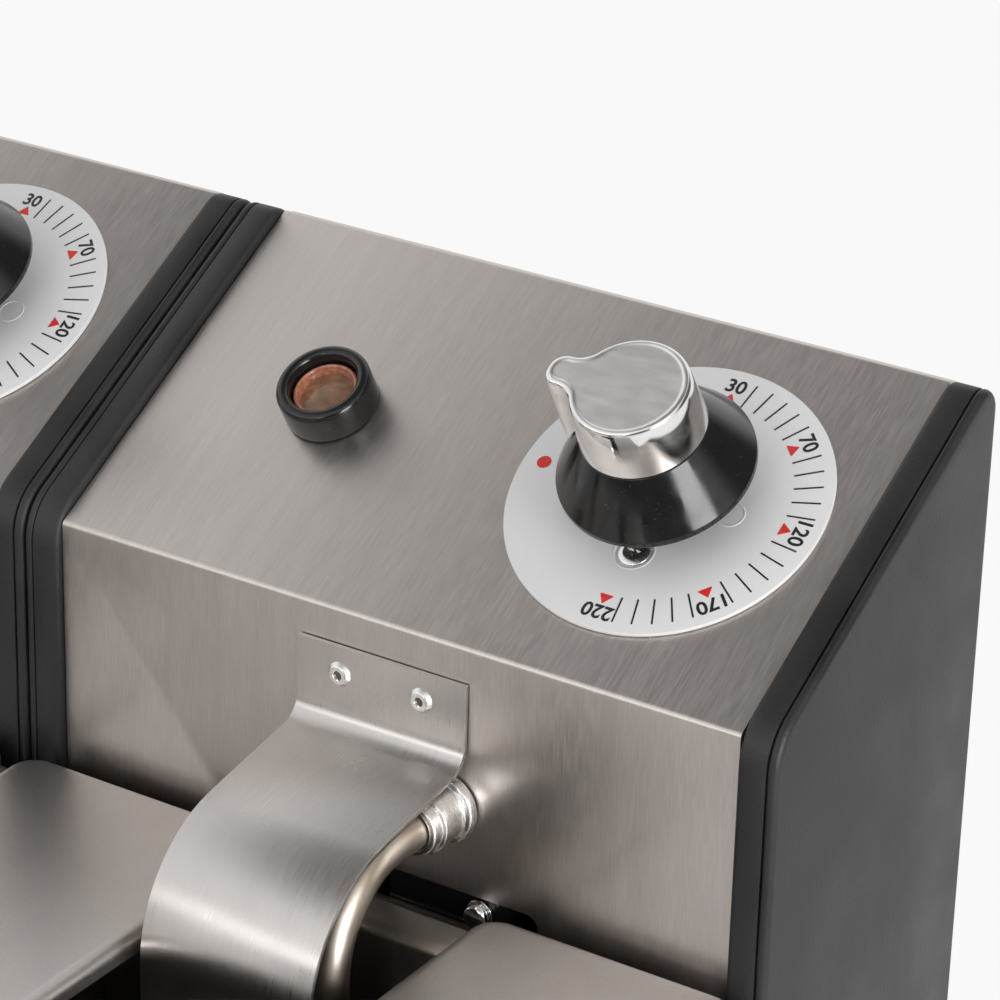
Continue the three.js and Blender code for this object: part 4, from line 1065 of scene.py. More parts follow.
def dial_print(unit):
    numbers = merged(*[dial_number(text, angle) for text, angle in NUMBERS.items()])
    dress(unit, "dial_numbers", numbers, INK_BLACK, "head", "dial_print", board=unit.dial_board)
    arrow = slab(rounded([(MARK_IN, -MARK_HALF, 0.12), (MARK_OUT, 0, 0.12), (MARK_IN, MARK_HALF, 0.12)], 2),
                 DIAL_TOP - INK, DIAL_TOP + INK)
    arrows = [moved(arrow, Matrix.Rotation(math.radians(angle), 4, "Z")) for angle in NUMBERS.values()]
    dot = moved(turned([(0, DIAL_TOP - INK), (OFF_DOT, DIAL_TOP - INK), (OFF_DOT, DIAL_TOP + INK),
                        (0, DIAL_TOP + INK)], 28), Matrix.Translation((-OFF_RADIUS, 0, 0)))
    return dress(unit, "dial_red_marks", merged(*arrows, dot), INK_RED, "head", "dial_print",
                 board=unit.dial_board)


def dial_bead(radius, thick, height, segments, middle):
    """A fine raised ring on the dial, round a point."""
    round_section = [(radius + thick * math.cos(2 * math.pi * k / 8),
                      DIAL_TOP + height * math.sin(2 * math.pi * k / 8)) for k in range(8)]
    return moved(turned(round_section, segments, joined=True), Matrix.Translation(middle))


def dial_fixings(unit):
    """The screw that holds the control below, and the embossed ring of its blind fellow."""
    board = unit.dial_board @ Matrix.Translation((0, -FIXING_RADIUS, 0))
    head = turned(soft_corners([(0, 1.6, 0), (2.2, 1.55, 0.5), (3.3, 1.05, 0.3), (3.3, 0.72, 0),
                                (0, 0.72, 0)]), 40)
    screw = put(f"{unit.name}_dial_screw", head, board, TURNED_METAL)
    carve(screw, *cross_saws(0.6, 2.8, 1.2, 3, FLAT, board))
    unit.fit(screw, "head", "element_steel")
    rims = merged(dial_bead(2.75, 0.22, 0.12, 40, (FIXING_RADIUS, 0, 0)),
                  dial_bead(4.15, 0.2, 0.1, 48, (0, -FIXING_RADIUS, 0)))
    return dress(unit, "dial_rings", rims, DIAL_GREY, "head", "dial_print", board=unit.dial_board)


for unit in units:
    dial_disc(unit)
    dial_ticks(unit)
    dial_print(unit)
    dial_fixings(unit)
print("dial numbers:", ", ".join(NUMBERS))

# %% [markdown]
# ## Knobs
# A knob is two mouldings on one shaft: a glossy black skirt, turned, and a plated cap with a pointer. The
# cap is a stack of rings of one plan, and the plan is a circle whose flanks run out through hollow arcs
# to the pointer's round tip. Below the cap's foot the pointer hangs down along the skirt's cone.

# %% Knob skirts
SKIRT_LOW, SKIRT_RIM, SKIRT_TOP, SKIRT_RADIUS = 10.5, 11.9, 22.5, 19.8
CAP_LOW, CAP_TOP, CAP_RADIUS, CAP_TOP_RADIUS = 22.8, 34.5, 12.7, 11.8
SHAFT_BORE = 3.3
SKIRT_FALL = (SKIRT_TOP - SKIRT_RIM) / (SKIRT_RADIUS - CAP_RADIUS)


def knob_skirt(unit):
    section = rounded([(SHAFT_BORE, 3, 0.1), (6, 3, 0.4), (6, 18.5, 1), (10.2, 18.5, 1),
                       (SKIRT_RADIUS - 1.3, SKIRT_LOW, 0.3), (SKIRT_RADIUS, SKIRT_LOW, 0.35),
                       (SKIRT_RADIUS, SKIRT_RIM, 0.5), (CAP_RADIUS, SKIRT_TOP, 0.4),
                       (SHAFT_BORE, SKIRT_TOP, 0.1)], 4)
    return dress(unit, "knob_skirt", turned(section, 128, joined=True), GLOSS_BLACK, "knob",
                 "gloss_black", "knob_skirt", board=unit.dial_board, sharp_from=40)


for unit in units:
    print(knob_skirt(unit).name)

# %% Knob caps
NOSE_REACH, NOSE_HALF, NOSE_TIP, NOSE_FLANK = 18.2, 3.6, 2.9, 5.5
NOSE_DRAFT = 0.3        # share of the cap's taper that the pointer's tip takes
NOSE_STEP = 0.3         # and how far the tip draws in at the rounded rim
NOSE_CLEAR = 0.2        # pointer's underside off the skirt
CAP_WALL = 1
CAP_LIP = 0.9           # rounded rim round the cap's sunk top
LIP_STEPS = 6
CAP_SINK = ((1.15, 0.03), (1.35, 0.16), (1.6, 0.2), (1.9, 0.2))     # (in from the edge, down)


ARC_STEPS, FLANK_STEPS, TIP_STEPS = 72, 10, 8


def cap_plan(radius, reach, half):
    """The cap seen from above: a circle with a pointer on -x, anticlockwise from the lower flank."""
    flank_x = -math.sqrt((radius + NOSE_FLANK) ** 2 - (half + NOSE_FLANK) ** 2)
    joint = math.atan2(half + NOSE_FLANK, flank_x)
    plan = [(radius * math.cos(a), radius * math.sin(a))
            for a in (-joint + 2 * joint * k / ARC_STEPS for k in range(ARC_STEPS + 1))]
    flank = []
    for k in range(1, FLANK_STEPS + 1):
        a = joint + math.pi + (1.5 * math.pi - joint - math.pi) * k / FLANK_STEPS
        flank.append((flank_x + NOSE_FLANK * math.cos(a), half + NOSE_FLANK + NOSE_FLANK * math.sin(a)))
    tip_radius = min(NOSE_TIP, half - 0.05)
    for k in range(TIP_STEPS + 1):
        a = math.pi / 2 + math.pi / 2 * k / TIP_STEPS
        flank.append((-reach + tip_radius + tip_radius * math.cos(a),
                      half - tip_radius + tip_radius * math.sin(a)))
    return plan + flank + [(x, -y) for x, y in reversed(flank)]


def under_cap(x, y):
    """Height of the cap's underside: flat over the skirt's top, then down along its cone."""
    beyond = max(0.0, math.hypot(x, y) - CAP_RADIUS - NOSE_CLEAR)
    return max(SKIRT_RIM + NOSE_CLEAR, CAP_LOW - SKIRT_FALL * beyond)


def knob_cap(unit):
    taper = (CAP_RADIUS - CAP_TOP_RADIUS) / (CAP_TOP - CAP_LOW)
    foot = cap_plan(CAP_RADIUS, NOSE_REACH, NOSE_HALF)
    inner = []
    for x, y in foot:
        pull = min(1, (CAP_RADIUS - CAP_WALL) / math.hypot(x, y))
        inner.append((x * pull, y * pull))
    rings = [flat_ring(inner, CAP_LOW), [(x, y, under_cap(x, y)) for x, y in foot]]
    for height in (CAP_LOW + 0.6, CAP_LOW + 4, CAP_LOW + 8, CAP_TOP - CAP_LIP):
        inset = taper * (height - CAP_LOW)
        plan = cap_plan(CAP_RADIUS - inset, NOSE_REACH - NOSE_DRAFT * inset, NOSE_HALF)
        rings.append(flat_ring(plan, height))
    turns = [math.pi / 2 * k / LIP_STEPS for k in range(1, LIP_STEPS + 1)]
    lip = [(CAP_LIP * (1 - math.cos(a)), CAP_TOP - CAP_LIP + CAP_LIP * math.sin(a)) for a in turns]
    for inset, height in lip + [(inset, CAP_TOP - sink) for inset, sink in CAP_SINK]:
        plan = cap_plan(CAP_TOP_RADIUS - inset, NOSE_REACH - NOSE_STEP - inset, NOSE_HALF - inset)
        rings.append(flat_ring(plan, height))
    cap = put(f"{unit.name}_knob_cap", loft(rings), unit.dial_board, CHROME, 50)
    cap.data.materials.append(CHROME_TOP)
    out = unit.dial_board.to_3x3().col[2].normalized()
    lowest = out.dot(unit.dial_board @ Vector((0, 0, CAP_TOP - 0.25)))
    for face in cap.data.polygons:
        if face.normal.dot(out) > 0.97 and out.dot(face.center) > lowest:
            face.material_index = 1
    return unit.fit(cap, "knob", "chrome", "knob_cap")


for unit in units:
    cap = knob_cap(unit)
    print(cap.name, len(cap.data.polygons), "faces")

# %% [markdown]
# ## Lamps
# A pilot lamp sits opposite each dial: a turned black bezel with a fat round rim, and an amber window
# sunk in it, with a redder ring where the window meets the wall.

# %% Lamps
BEZEL_RADIUS, BEZEL_TOP, BEZEL_MOUTH = 10, 7.8, 7.2
WINDOW_RADIUS, WINDOW_LOW = 5.6, 1.8


def lamp(unit):
    board = unit.lamp_board
    section = rounded([(3, -8, 0.1), (5.7, -8, 0.1), (5.7, 0.3, 0.1), (BEZEL_RADIUS, 0.3, 0.3),
                       (BEZEL_RADIUS, BEZEL_TOP, 1.5), (BEZEL_MOUTH, BEZEL_TOP, 1.25),
                       (BEZEL_MOUTH, 1.5, 0.1), (3, 1.5, 0.1)], 6)
    dress(unit, "lamp_bezel", turned(section, 96, joined=True), GLOSS_BLACK, "head", "gloss_black",
          "lamp_bezel", board=board, sharp_from=50)
    window = turned([(0, 3.7), (2.2, 3.65), (4.2, 3.45), (WINDOW_RADIUS, 3.2),
                     (WINDOW_RADIUS, WINDOW_LOW), (0, WINDOW_LOW)], 72)
    dress(unit, "lamp_window", window, AMBER, "head", "lamp_amber", "lamp_lens", board=board, sharp_from=40)
    collar = rounded([(WINDOW_RADIUS, WINDOW_LOW, 0), (6.9, WINDOW_LOW, 0), (6.9, 5.2, 0.5),
                      (6.1, 5.2, 0.4), (WINDOW_RADIUS, 3.3, 0.3)], 4)
    return dress(unit, "lamp_collar", turned(collar, 72, joined=True), AMBER_EDGE, "head", "lamp_amber",
                 board=board, sharp_from=40)


for unit in units:
    print(lamp(unit).name)

# %% [markdown]
# ## Element guards
# A riveted strip of the same brushed sheet covers the element's two risers. It lies on the head's face,
# leans out, turns down in one wide bend and drops into the tank through the lid's notch. Its long edges
# are broken very slightly so that they draw a bright line round the bend.

# %% Guards
GUARD_FLANGE = 17.0     # upright part on the face, above the turn
GUARD_PITCH = math.radians(10.6)
GUARD_BEND = 28
GUARD_TURN_BEND = 5
RIVET_RADIUS, RIVET_SPACING, RIVET_BELOW_EDGE = 2.65, 19.2, 5.9


def guard(unit):
    low, high = unit.box("element_guard")
    face = -GAP - SHEET
    turn = high.z - GUARD_FLANGE
    slant = math.tan(GUARD_PITCH)
    elbow = turn - (face - low.y) * slant
    lower = SHEET / math.cos(GUARD_PITCH) - SHEET * slant
    side = rounded([(-GAP, high.z, 0), (face, high.z, 0), (face, turn, GUARD_TURN_BEND),
                    (low.y, elbow, GUARD_BEND), (low.y, low.z, 0), (low.y + SHEET, low.z, 0),
                    (low.y + SHEET, elbow - lower, GUARD_BEND - SHEET),
                    (-GAP, turn - lower, GUARD_TURN_BEND + SHEET)], 24)
    strip = put(f"{unit.name}_element_guard", pushed(side, low.x, high.x), unit.board, GUARD_STEEL)
    break_edges(strip, 0.16, 30, 50)
    unit.fit(strip, "head", "head_steel", "element_guard")
    r = RIVET_RADIUS
    dome = turned(soft_corners([(0, 0.35, 0), (0.85, 0.35, 0.1), (1.05, 1.0, 0.15), (1.9, 0.9, 0.5),
                                (r, 0.1, 0.1), (r, -0.3, 0), (0, -0.3, 0)], 4), 40)
    rivet = put("rivet", moved(dome, LYING), board_turn(unit.board), TURNED_METAL)
    spots = [(x, face, high.z - RIVET_BELOW_EDGE) for x in (-RIVET_SPACING / 2, RIVET_SPACING / 2)]
    rivets = spread(f"{unit.name}_rivets", rivet, spots, unit.board, TURNED_METAL)
    unit.fit(rivets, "head", "element_steel")
    # A dark disc sunk in each rivet's hollow centre: painted shade that stands in for the dark of the hole,
    # not a real pin.
    hole_shade = turned([(0, 0.5), (0.8, 0.42), (0.8, -0.2), (0, -0.2)], 20)
    pin = put("pin", moved(hole_shade, LYING), board_turn(unit.board), INNER_PLASTIC_AND_HOLE_SHADE)
    hole_shades = spread(f"{unit.name}_rivet_pins", pin, spots, unit.board, INNER_PLASTIC_AND_HOLE_SHADE)
    return unit.fit(hole_shades, "head", "inner_plastic")


for unit in units:
    print(guard(unit).name)

# %% [markdown]
# ## Element, fittings and bulb
# The element is one bent tube, so it is a thread of edges handed to the pipe recipe. A turned, grooved
# fitting clamps each riser to the head, and the thermostat's sensing bulb hangs between them on a thin
# tube that leaves the face through a black grommet.

# %% Heating elements
ELEMENT_RADIUS = 4
RISER_BEND, LEG_BEND, BACK_BEND = 20, 12, 16
LEG_GAP, LEG_RETURN = 36, 206.5
BULB_RADIUS, CAPILLARY_RADIUS = 3, 1.2
RISER_AHEAD = 7.5       # risers in front of the sensing bulb's middle
EXIT_DROP = 4           # top of the capillary's box down to where it leaves the face
BULB_HANG = 42          # and from there down to the bulb's neck


def element(unit):
    low, high = unit.box("heating_element")
    riser = unit.spot("element_fitting_right", 0).translation.x
    top, floor = high.z - ELEMENT_RADIUS, low.z + ELEMENT_RADIUS
    outer, front = high.x - ELEMENT_RADIUS, low.y + ELEMENT_RADIUS
    inner, back = outer - LEG_GAP, front + LEG_RETURN
    shank = unit.box("sensing_bulb")[0].y + BULB_RADIUS - RISER_AHEAD
    half = [(riser, high.y, top, 0), (riser, shank, top, RISER_BEND), (riser, shank, floor, LEG_BEND),
            (outer, shank, floor, LEG_BEND), (outer, front, floor, LEG_GAP / 2 - 0.1),
            (inner, front, floor, LEG_GAP / 2 - 0.1), (inner, back, floor, BACK_BEND)]
    line = bent(half + [(-x, y, z, r) for x, y, z, r in reversed(half)], 12)
    tube = piping(f"{unit.name}_element", [line], ELEMENT_RADIUS, unit.board, ELEMENT_STEEL, 24)
    return unit.fit(tube, "head", "element_steel", "heating_element")


def fitting(unit, side):
    spot = unit.spot(f"element_fitting_{side}", 0) @ LYING
    section = rounded([(4.3, 0.3, 0.1), (7.5, 0.3, 0.3), (7.5, 2.6, 0.6), (6.2, 2.9, 0.3), (6.2, 6.9, 0.3),
                       (6.5, 7.2, 0.2), (6.5, 9.5, 0.4), (5.7, 9.8, 0.2), (5.7, 12.5, 0.7),
                       (4.3, 12.5, 0.2)], 4)
    return dress(unit, f"{side}_fitting", moved(turned(section, 56, joined=True), spot), TURNED_METAL,
                 "head", "element_steel", f"element_fitting_{side}")


def bulb(unit):
    low, high = unit.box("sensing_bulb")
    exit_z = high.z - EXIT_DROP
    y = low.y + BULB_RADIUS
    hang = exit_z - BULB_HANG
    line = bent([(0, high.y, exit_z, 0), (0, y, exit_z, 8), (0, y, hang - 2, 0)], 10)
    capillary = piping(f"{unit.name}_capillary", [line], CAPILLARY_RADIUS, unit.board, WIRE_PLATE, 12)
    unit.fit(capillary, "head", "element_steel", "sensing_bulb")
    stick = turned(soft_corners([(0, low.z, 0), (BULB_RADIUS, low.z, 0.8), (BULB_RADIUS, hang - 2, 0.8),
                                 (CAPILLARY_RADIUS, hang, 0.3), (0, hang, 0)]), 28)
    dress(unit, "bulb", moved(stick, Matrix.Translation((0, y, 0))), WIRE_PLATE, "head", "element_steel")
    cap = turned(rounded([(1.25, 0.3, 0), (4, 0.3, 0.2), (4, 1.9, 0.7), (1.25, 2.0, 0.3)], 3), 36,
                 joined=True)
    return dress(unit, "grommet", moved(cap, Matrix.Translation((0, 0, exit_z)) @ LYING), RUBBER,
                 "head", "foot_rubber")


for unit in units:
    element(unit)
    for side in ("left", "right"):
        fitting(unit, side)
    bulb(unit)
print("element tube radius", ELEMENT_RADIUS, "mm")

# %% [markdown]
# ## Seating switches
# Behind the window in each face sits a black switch body, and its plated plunger looks out. The plunger
# is turned with two ridges.

# %% Switches
BODY_WIDTH = 28
PLUNGER_IN = 22         # plunger from the body's left side


def seating_switch(unit):
    low, high = unit.box("safety_switch")
    body = rounded([(low.x, low.z, 1), (low.x + BODY_WIDTH, low.z, 1), (low.x + BODY_WIDTH, high.z, 1),
                    (low.x, high.z, 1)], 3)
    case = loft([[(x, y, z) for x, z in body] for y in (SHEET + GAP, high.y)])
    dress(unit, "switch_body", case, GLOSS_BLACK, "head", "gloss_black", "safety_switch")
    pin = turned(soft_corners([(0, 2.2, 0), (2.4, 2.15, 0.6), (2.7, 0.9, 0.2), (2.2, 0.6, 0.15),
                               (2.2, 0.2, 0.15), (3, 0, 0.15), (3, -1.5, 0), (0, -1.5, 0)]), 40)
    spot = Matrix.Translation((low.x + PLUNGER_IN, 0, (low.z + high.z) / 2)) @ LYING
    return dress(unit, "switch_plunger", moved(pin, spot), CHROME, "head", "chrome")


for unit in units:
    print(seating_switch(unit).name)

# %% [markdown]
# ## Tanks
# A tank is deep-drawn: one skin that climbs the outside, rolls over the rim and goes down the inside.
# It is a stack of rounded rectangles, each shrunk by what the section asks for at its height.

# %% Tanks
RIM_WIDTH, RIM_DROP, RIM_CORNER, RIM_ROLL = 9.5, 4, 18, 1.9
TANK_FOOT = 8           # bend between the tank's wall and its floor
MOUTH_BACK, MOUTH_BEND = 1.2, 2.2   # bend from the rim down into the tank, and where it starts
RING_STEPS = 8


def quarter(steps=6):
    """Pairs (sine, one minus cosine) through a quarter turn."""
    turns = [math.pi / 2 * k / steps for k in range(steps + 1)]
    return [(math.sin(a), 1 - math.cos(a)) for a in turns]


def stack(corners, levels):
    """A skin through the outline shrunk by each (inset, height) pair."""
    return loft([flat_ring(rounded(shrunk(corners, inset), RING_STEPS), z) for inset, z in levels])


def tank(unit):
    low, high = unit.box("tank")
    wall, top = RIM_WIDTH, high.z
    mouth = wall - MOUTH_BACK
    inner, deep = wall + SHEET, TANK_FOOT - SHEET
    levels = [(wall + TANK_FOOT * (1 - s), low.z + TANK_FOOT * c) for s, c in quarter()]
    levels += [(wall, top - RIM_DROP), (wall, top - SHEET), (SHEET, top - SHEET), (SHEET, top - RIM_DROP),
               (0, top - RIM_DROP)]
    levels += [(RIM_ROLL * c, top - RIM_ROLL + RIM_ROLL * s) for s, c in quarter()]
    levels += [(mouth, top)]
    levels += [(mouth + MOUTH_BEND * s, top - MOUTH_BEND * c) for s, c in quarter()]
    levels += [(inner + deep * c, low.z + SHEET + deep * (1 - s)) for s, c in quarter()]
    levels += [(inner + deep + 0.5, low.z + SHEET)]
    return dress(unit, "tank", stack(box_plan(low, high, RIM_CORNER), levels), TANK_STEEL, "tank",
                 "tank_steel", "tank", sharp_from=40)


for unit in units:
    print(tank(unit).name)

# %% [markdown]
# ## Lids
# Each lid is a flat sheet with a rolled edge and a short lip. A deep notch behind lets the guard through,
# and a small one in front clears the basket's handle. Rings of the same twelve-cornered outline follow the
# roll, so it runs round the notches as well.

# %% Lids
LID_ROLL, LID_CORNER, LID_INNER_CORNER = 2.8, 6.5, 3
NOTCH_LEFT, NOTCH_RIGHT, NOTCH_DEPTH = -22.4, 27.6, 88
HANDLE_NOTCH_HALF, HANDLE_NOTCH_DEPTH = 14, 22.4


def lid(unit):
    low, high = unit.box("lid")
    notch, front_notch = high.y - NOTCH_DEPTH, low.y + HANDLE_NOTCH_DEPTH
    h, corner, inner = HANDLE_NOTCH_HALF, LID_CORNER, LID_INNER_CORNER
    corners = [(low.x, low.y, corner), (-h, low.y, inner), (-h, front_notch, inner),
               (h, front_notch, inner), (h, low.y, inner), (high.x, low.y, corner), (high.x, high.y, corner),
               (NOTCH_RIGHT, high.y, corner), (NOTCH_RIGHT, notch, inner), (NOTCH_LEFT, notch, inner),
               (NOTCH_LEFT, high.y, corner), (low.x, high.y, corner)]
    under, top, flat = LID_ROLL - SHEET, high.z, LID_ROLL + 0.4
    levels = [(flat, top - SHEET)]
    levels += [(SHEET + under * (1 - s), top - SHEET - under * c) for s, c in quarter()]
    levels += [(SHEET, low.z), (0, low.z)]
    levels += [(LID_ROLL * c, top - LID_ROLL + LID_ROLL * s) for s, c in quarter(8)]
    levels += [(flat, top)]
    return dress(unit, "lid", stack(corners, levels), LID_STEEL, "lid", "lid_steel", "lid", sharp_from=50)


def lid_knob(unit):
    low, high = unit.box("lid_knob")
    foot, r, h = low.z, (high.x - low.x) / 2, high.z - low.z
    profile = [(0, foot, 0), (0.75 * r, foot, 0.5), (0.75 * r, foot + 2, 0.8), (0.5 * r, foot + 0.2 * h, 3),
               (0.5 * r, foot + 0.45 * h, 3), (r, foot + 0.65 * h, 2.5), (r, foot + 0.85 * h, 2.5),
               (0.8 * r, foot + 0.97 * h, 1.5), (0, foot + h, 0)]
    spot = Matrix.Translation((0, (low.y + high.y) / 2, 0))
    return dress(unit, "lid_knob", moved(turned(soft_corners(profile, 6), 72), spot), GLOSS_BLACK, "lid",
                 "gloss_black", "lid_knob")


for unit in units:
    print(lid(unit).name, lid_knob(unit).name)

# %% [markdown]
# ## Baskets
# A basket is woven of thin plated wire: hoops that run down one side, across and up the other, both ways,
# and level rings round them. Every wire is a thread for the pipe recipe, so one tree makes the whole
# mesh. A thicker wire closes the rim, and the handle is a bent wire that ends in a moulded grip.

# %% Baskets
MESH_PITCH, MESH_WIRE, RIM_WIRE, BASKET_CORNER, BASKET_FOOT = 6.5, 0.55, 1.9, 16, 6


def hoops(low, high, across):
    """Wires that run down, under and up, side by side across the basket."""
    span = high.y - low.y if across else high.x - low.x
    middle = (low.y + high.y) / 2 if across else 0
    count = int((span - 2 * MESH_WIRE - 2) / MESH_PITCH)
    lines = []
    for k in range(count + 1):
        offset = (k - count / 2) * MESH_PITCH
        beyond = max(0.0, abs(offset) - (span / 2 - BASKET_CORNER))
        pull = BASKET_CORNER - math.sqrt(max(0.0, BASKET_CORNER ** 2 - beyond ** 2)) + MESH_WIRE + 0.1
        floor = low.z + MESH_WIRE + (0.1 if across else 1.1) + 0.25 * beyond
        ends = (low.x + pull, high.x - pull) if across else (low.y + pull, high.y - pull)
        corners = [(ends[0], high.z - 1, 0), (ends[0], floor, BASKET_FOOT), (ends[1], floor, BASKET_FOOT),
                   (ends[1], high.z - 1, 0)]
        lines.append(bent([(a, middle + offset, z, r) if across else (offset, a, z, r)
                           for a, z, r in corners], 3))
    return lines


def level_ring(low, high, inset, z):
    line = flat_ring(rounded(shrunk(box_plan(low, high, BASKET_CORNER), inset), 5), z)
    return line + [line[0]]


def basket(unit):
    low, high = unit.box("basket")
    lines = hoops(low, high, True) + hoops(low, high, False)
    z = low.z + BASKET_FOOT
    while z < high.z - 2 * RIM_WIRE:
        lines.append(level_ring(low, high, 2 * MESH_WIRE + 0.2, z))
        z += MESH_PITCH
    mesh = piping(f"{unit.name}_basket_mesh", lines, MESH_WIRE, unit.board, WIRE_PLATE, 6)
    unit.fit(mesh, "basket", "basket_mesh", "basket")
    hem = level_ring(low, high, RIM_WIRE + 0.05, high.z - RIM_WIRE - 0.05)
    rim = piping(f"{unit.name}_basket_rim", [hem], RIM_WIRE, unit.board, CHROME, 14)
    unit.fit(rim, "basket", "basket_wire")
    return mesh


for unit in units:
    mesh = basket(unit)
    print(mesh.name, len(mesh.data.polygons), "faces")

# %% Basket handles
HANDLE_WIRE, HANDLE_BEND, HANDLE_PITCH = 2.5, 14, math.radians(25)
HANDLE_BELOW_RIM = 4    # the wire starts to turn this far below the tank's rim
GRIP_LENGTH, GRIP_WIDTH, GRIP_HEIGHT, GRIP_ROUND = 96, 30, 15, 5.5
GRIP_START = 36         # bend of the wire to the grip
WIRE_IN_GRIP = 0.6      # share of the grip that the wire runs into
# (share of the length, share of the width, share of the height)
GRIP_SHAPE = [(0, 0.60, 0.45), (0.004, 0.74, 0.62), (0.015, 0.86, 0.78), (0.035, 0.95, 0.90),
              (0.07, 1.0, 0.97), (0.16, 1.0, 1.0), (0.30, 0.93, 0.95), (0.5, 0.88, 0.93),
              (0.72, 0.93, 0.95), (0.88, 1.0, 1.0), (0.95, 0.97, 0.96), (0.982, 0.9, 0.86),
              (0.994, 0.8, 0.72), (0.998, 0.66, 0.55)]


def basket_handle(unit):
    low, high = unit.box("basket_handle")
    tank_top = unit.box("tank")[1].z
    x = high.x - HANDLE_WIRE
    y = unit.box("basket")[0].y - GAP - HANDLE_WIRE
    foot = low.z + HANDLE_WIRE
    out = Vector((0, -math.cos(HANDLE_PITCH), math.sin(HANDLE_PITCH)))
    half_turn = math.tan((math.pi / 2 - HANDLE_PITCH) / 2)
    turn = Vector((0, y, tank_top - HANDLE_BELOW_RIM + HANDLE_BEND * half_turn))
    end = turn + out * (GRIP_START + WIRE_IN_GRIP * GRIP_LENGTH)
    half = [(x, end.y, end.z, 0), (x, turn.y, turn.z, HANDLE_BEND), (x, y, foot, 0.95 * x)]
    line = bent(half + [(-a, b, c, r) for a, b, c, r in reversed(half)], 12)
    wire = piping(f"{unit.name}_basket_handle", [line], HANDLE_WIRE, unit.board, CHROME, 20)
    unit.fit(wire, "basket", "basket_wire", "basket_handle")
    lay = Matrix((ACROSS, out.cross(ACROSS), out)).transposed().to_4x4()
    lay.translation = turn + out * GRIP_START
    rings = []
    for share, width, height in GRIP_SHAPE:
        plan = rounded(rectangle(GRIP_WIDTH * width, GRIP_HEIGHT * height, GRIP_ROUND * height), 8)
        rings.append(flat_ring(plan, share * GRIP_LENGTH))
    return dress(unit, "basket_grip", moved(loft(rings), lay), GLOSS_BLACK, "basket", "gloss_black",
                 "basket_grip", sharp_from=60)


for unit in units:
    print(basket_handle(unit).name)

# %% [markdown]
# ## Casing and feet
# The outer shell is one sheet bent round the front corners. It is drawn as a band with two walls, and the
# part above the rear shelf is cut away for the heads. The feet are one turned rubber piece on four points.

# %% Casing
CASING_BEND = 8
SHELF_CUT = -5          # the shell stands full height in front of this
WALL = Vector((SHEET, SHEET, 0))            # front left corner to the same corner inside
WALL_BACK = Vector((-SHEET, SHEET, 0))      # back right corner to the saw, which runs out behind


def outer_shell():
    low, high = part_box("outer_shell")
    board = units[0].board.copy()
    board.translation.x = (low.x + high.x) / 2
    low, high = board.inverted() @ low, board.inverted() @ high
    shelf = units[0].box("head_shell")[0].z - GAP
    outside = box_plan(low, high, CASING_BEND, 0)
    inside = box_plan(low + WALL, high + WALL_BACK, CASING_BEND - SHEET, 0)
    over = high.z + SHEET
    behind = square_outline(low.x - 1, SHELF_CUT, high.x + 1, high.y + 1)
    band = put("casing_shell", slab(rounded(outside, 10), low.z, high.z), board, CASING_STEEL)
    hollow = put("hollow_saw", slab(rounded(inside, 10), low.z - SHEET, over), board, CASING_STEEL)
    step = put("step_saw", slab(behind, shelf, over), board, CASING_STEEL)
    carve(band, hollow, step)
    break_edges(band, 0.2)
    return fit(band, "casing", "casing_steel", "outer_shell")


def feet():
    names = [f"foot_{end}_{side}" for end in ("front", "back") for side in ("left", "right")]
    boxes = [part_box(name) for name in names]
    low, high = boxes[0]
    radius, height = (high.x - low.x) / 2 / MM, (high.z - low.z) / MM
    shape = turned(soft_corners([(0, 0, 0), (radius - 2, 0, 1), (radius - 1, 1.2, 1), (radius, height, 0.6),
                                 (0, height, 0)]), 48)
    foot = put("foot", shape, Matrix.Scale(MM, 4), RUBBER)
    spots = [((a.x + b.x) / 2, (a.y + b.y) / 2, a.z) for a, b in boxes]
    made = spread("casing_feet", foot, spots, FLAT, RUBBER)
    return fit(made, "casing", "foot_rubber", *names)


print(outer_shell().name, feet().name)

# %% [markdown]
# ## Back fittings
# A red reset button and a ribbed cord gland sit in each back cover.

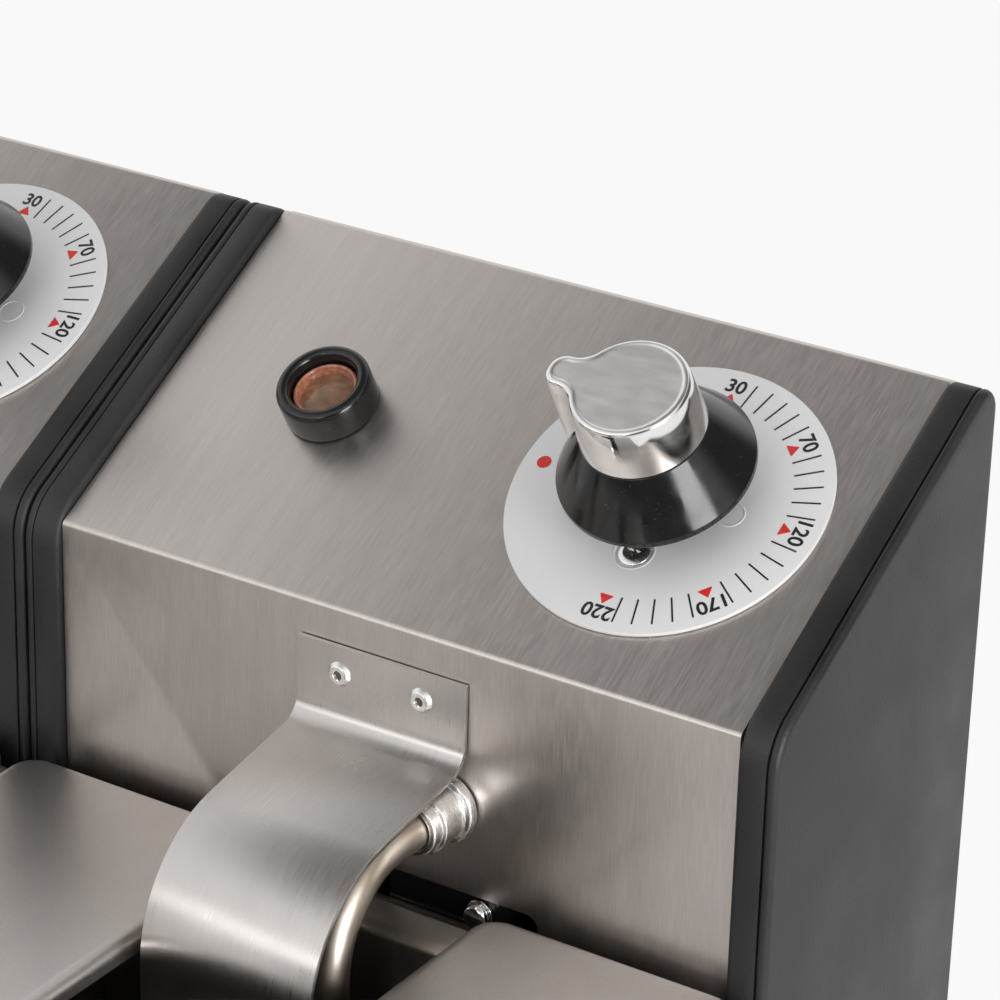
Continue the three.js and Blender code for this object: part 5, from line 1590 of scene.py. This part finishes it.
# %% Reset buttons and glands
def reset_button(unit):
    low, high = unit.box("reset_button")
    r, length = (high.x - low.x) / 2, high.y - low.y
    knob = turned(soft_corners([(0, 0, 0), (r, 0, 0.2), (r, length, 0.9), (0.6 * r, length - 0.35, 0.6),
                                (0, length - 0.5, 0)], 4), 40)
    spot = unit.spot("reset_button", low.y) @ REARWARD
    return dress(unit, "reset_button", moved(knob, spot), RESET_RED, "reset", "reset_red", "reset_button")


def cord_gland(unit):
    low, high = unit.box("cord_gland")
    flange, length = (high.x - low.x) / 2, high.y - low.y
    bore, neck = flange - 5.5, flange - 3.5
    profile = [(bore, 0, 0), (neck, 0, 0.2), (neck, 8, 0.1), (flange, 8, 0.4), (flange, 10.4, 0.6)]
    for k in range(4):
        z = 11.2 + 2.2 * k
        r = flange - 1.0 - 0.5 * k
        profile += [(r - 1.1, z - 0.5, 0.2), (r - 1.1, z, 0.2), (r, z + 0.2, 0.2), (r, z + 1.1, 0.2)]
    profile += [(neck + 0.3, length, 0.3), (bore, length, 0.2)]
    skin = moved(turned(rounded(profile, 3), 48, joined=True), unit.spot("cord_gland", low.y) @ REARWARD)
    return dress(unit, "cord_gland", skin, RUBBER, "head", "foot_rubber", "cord_gland")


for unit in units:
    print(reset_button(unit).name, cord_gland(unit).name)

# %% [markdown]
# ## Pieces kept from the frame
# The deck, the back panel, the base plate and the controls inside the heads are plain already. They keep
# the frame's own shapes and only take a finish.

# %% Finishes on kept pieces
KEPT = {"top_deck": CASING_STEEL, "rear_panel": CASING_STEEL, "base_plate": CASING_STEEL}
for unit in units:
    KEPT[f"{unit.name}_thermostat"] = INNER_PLASTIC_AND_HOLE_SHADE
    KEPT[f"{unit.name}_limit_thermostat"] = INNER_PLASTIC_AND_HOLE_SHADE
    KEPT[f"{unit.name}_knob_shaft"] = CHROME
for name, finish in KEPT.items():
    frame["nodes"][name].data.materials.clear()
    frame["nodes"][name].data.materials.append(finish)
print("kept:", ", ".join(KEPT))

# %% Sizes and finish
print("frame box", [round(v, 4) for v in (*cad_low, *cad_high)])
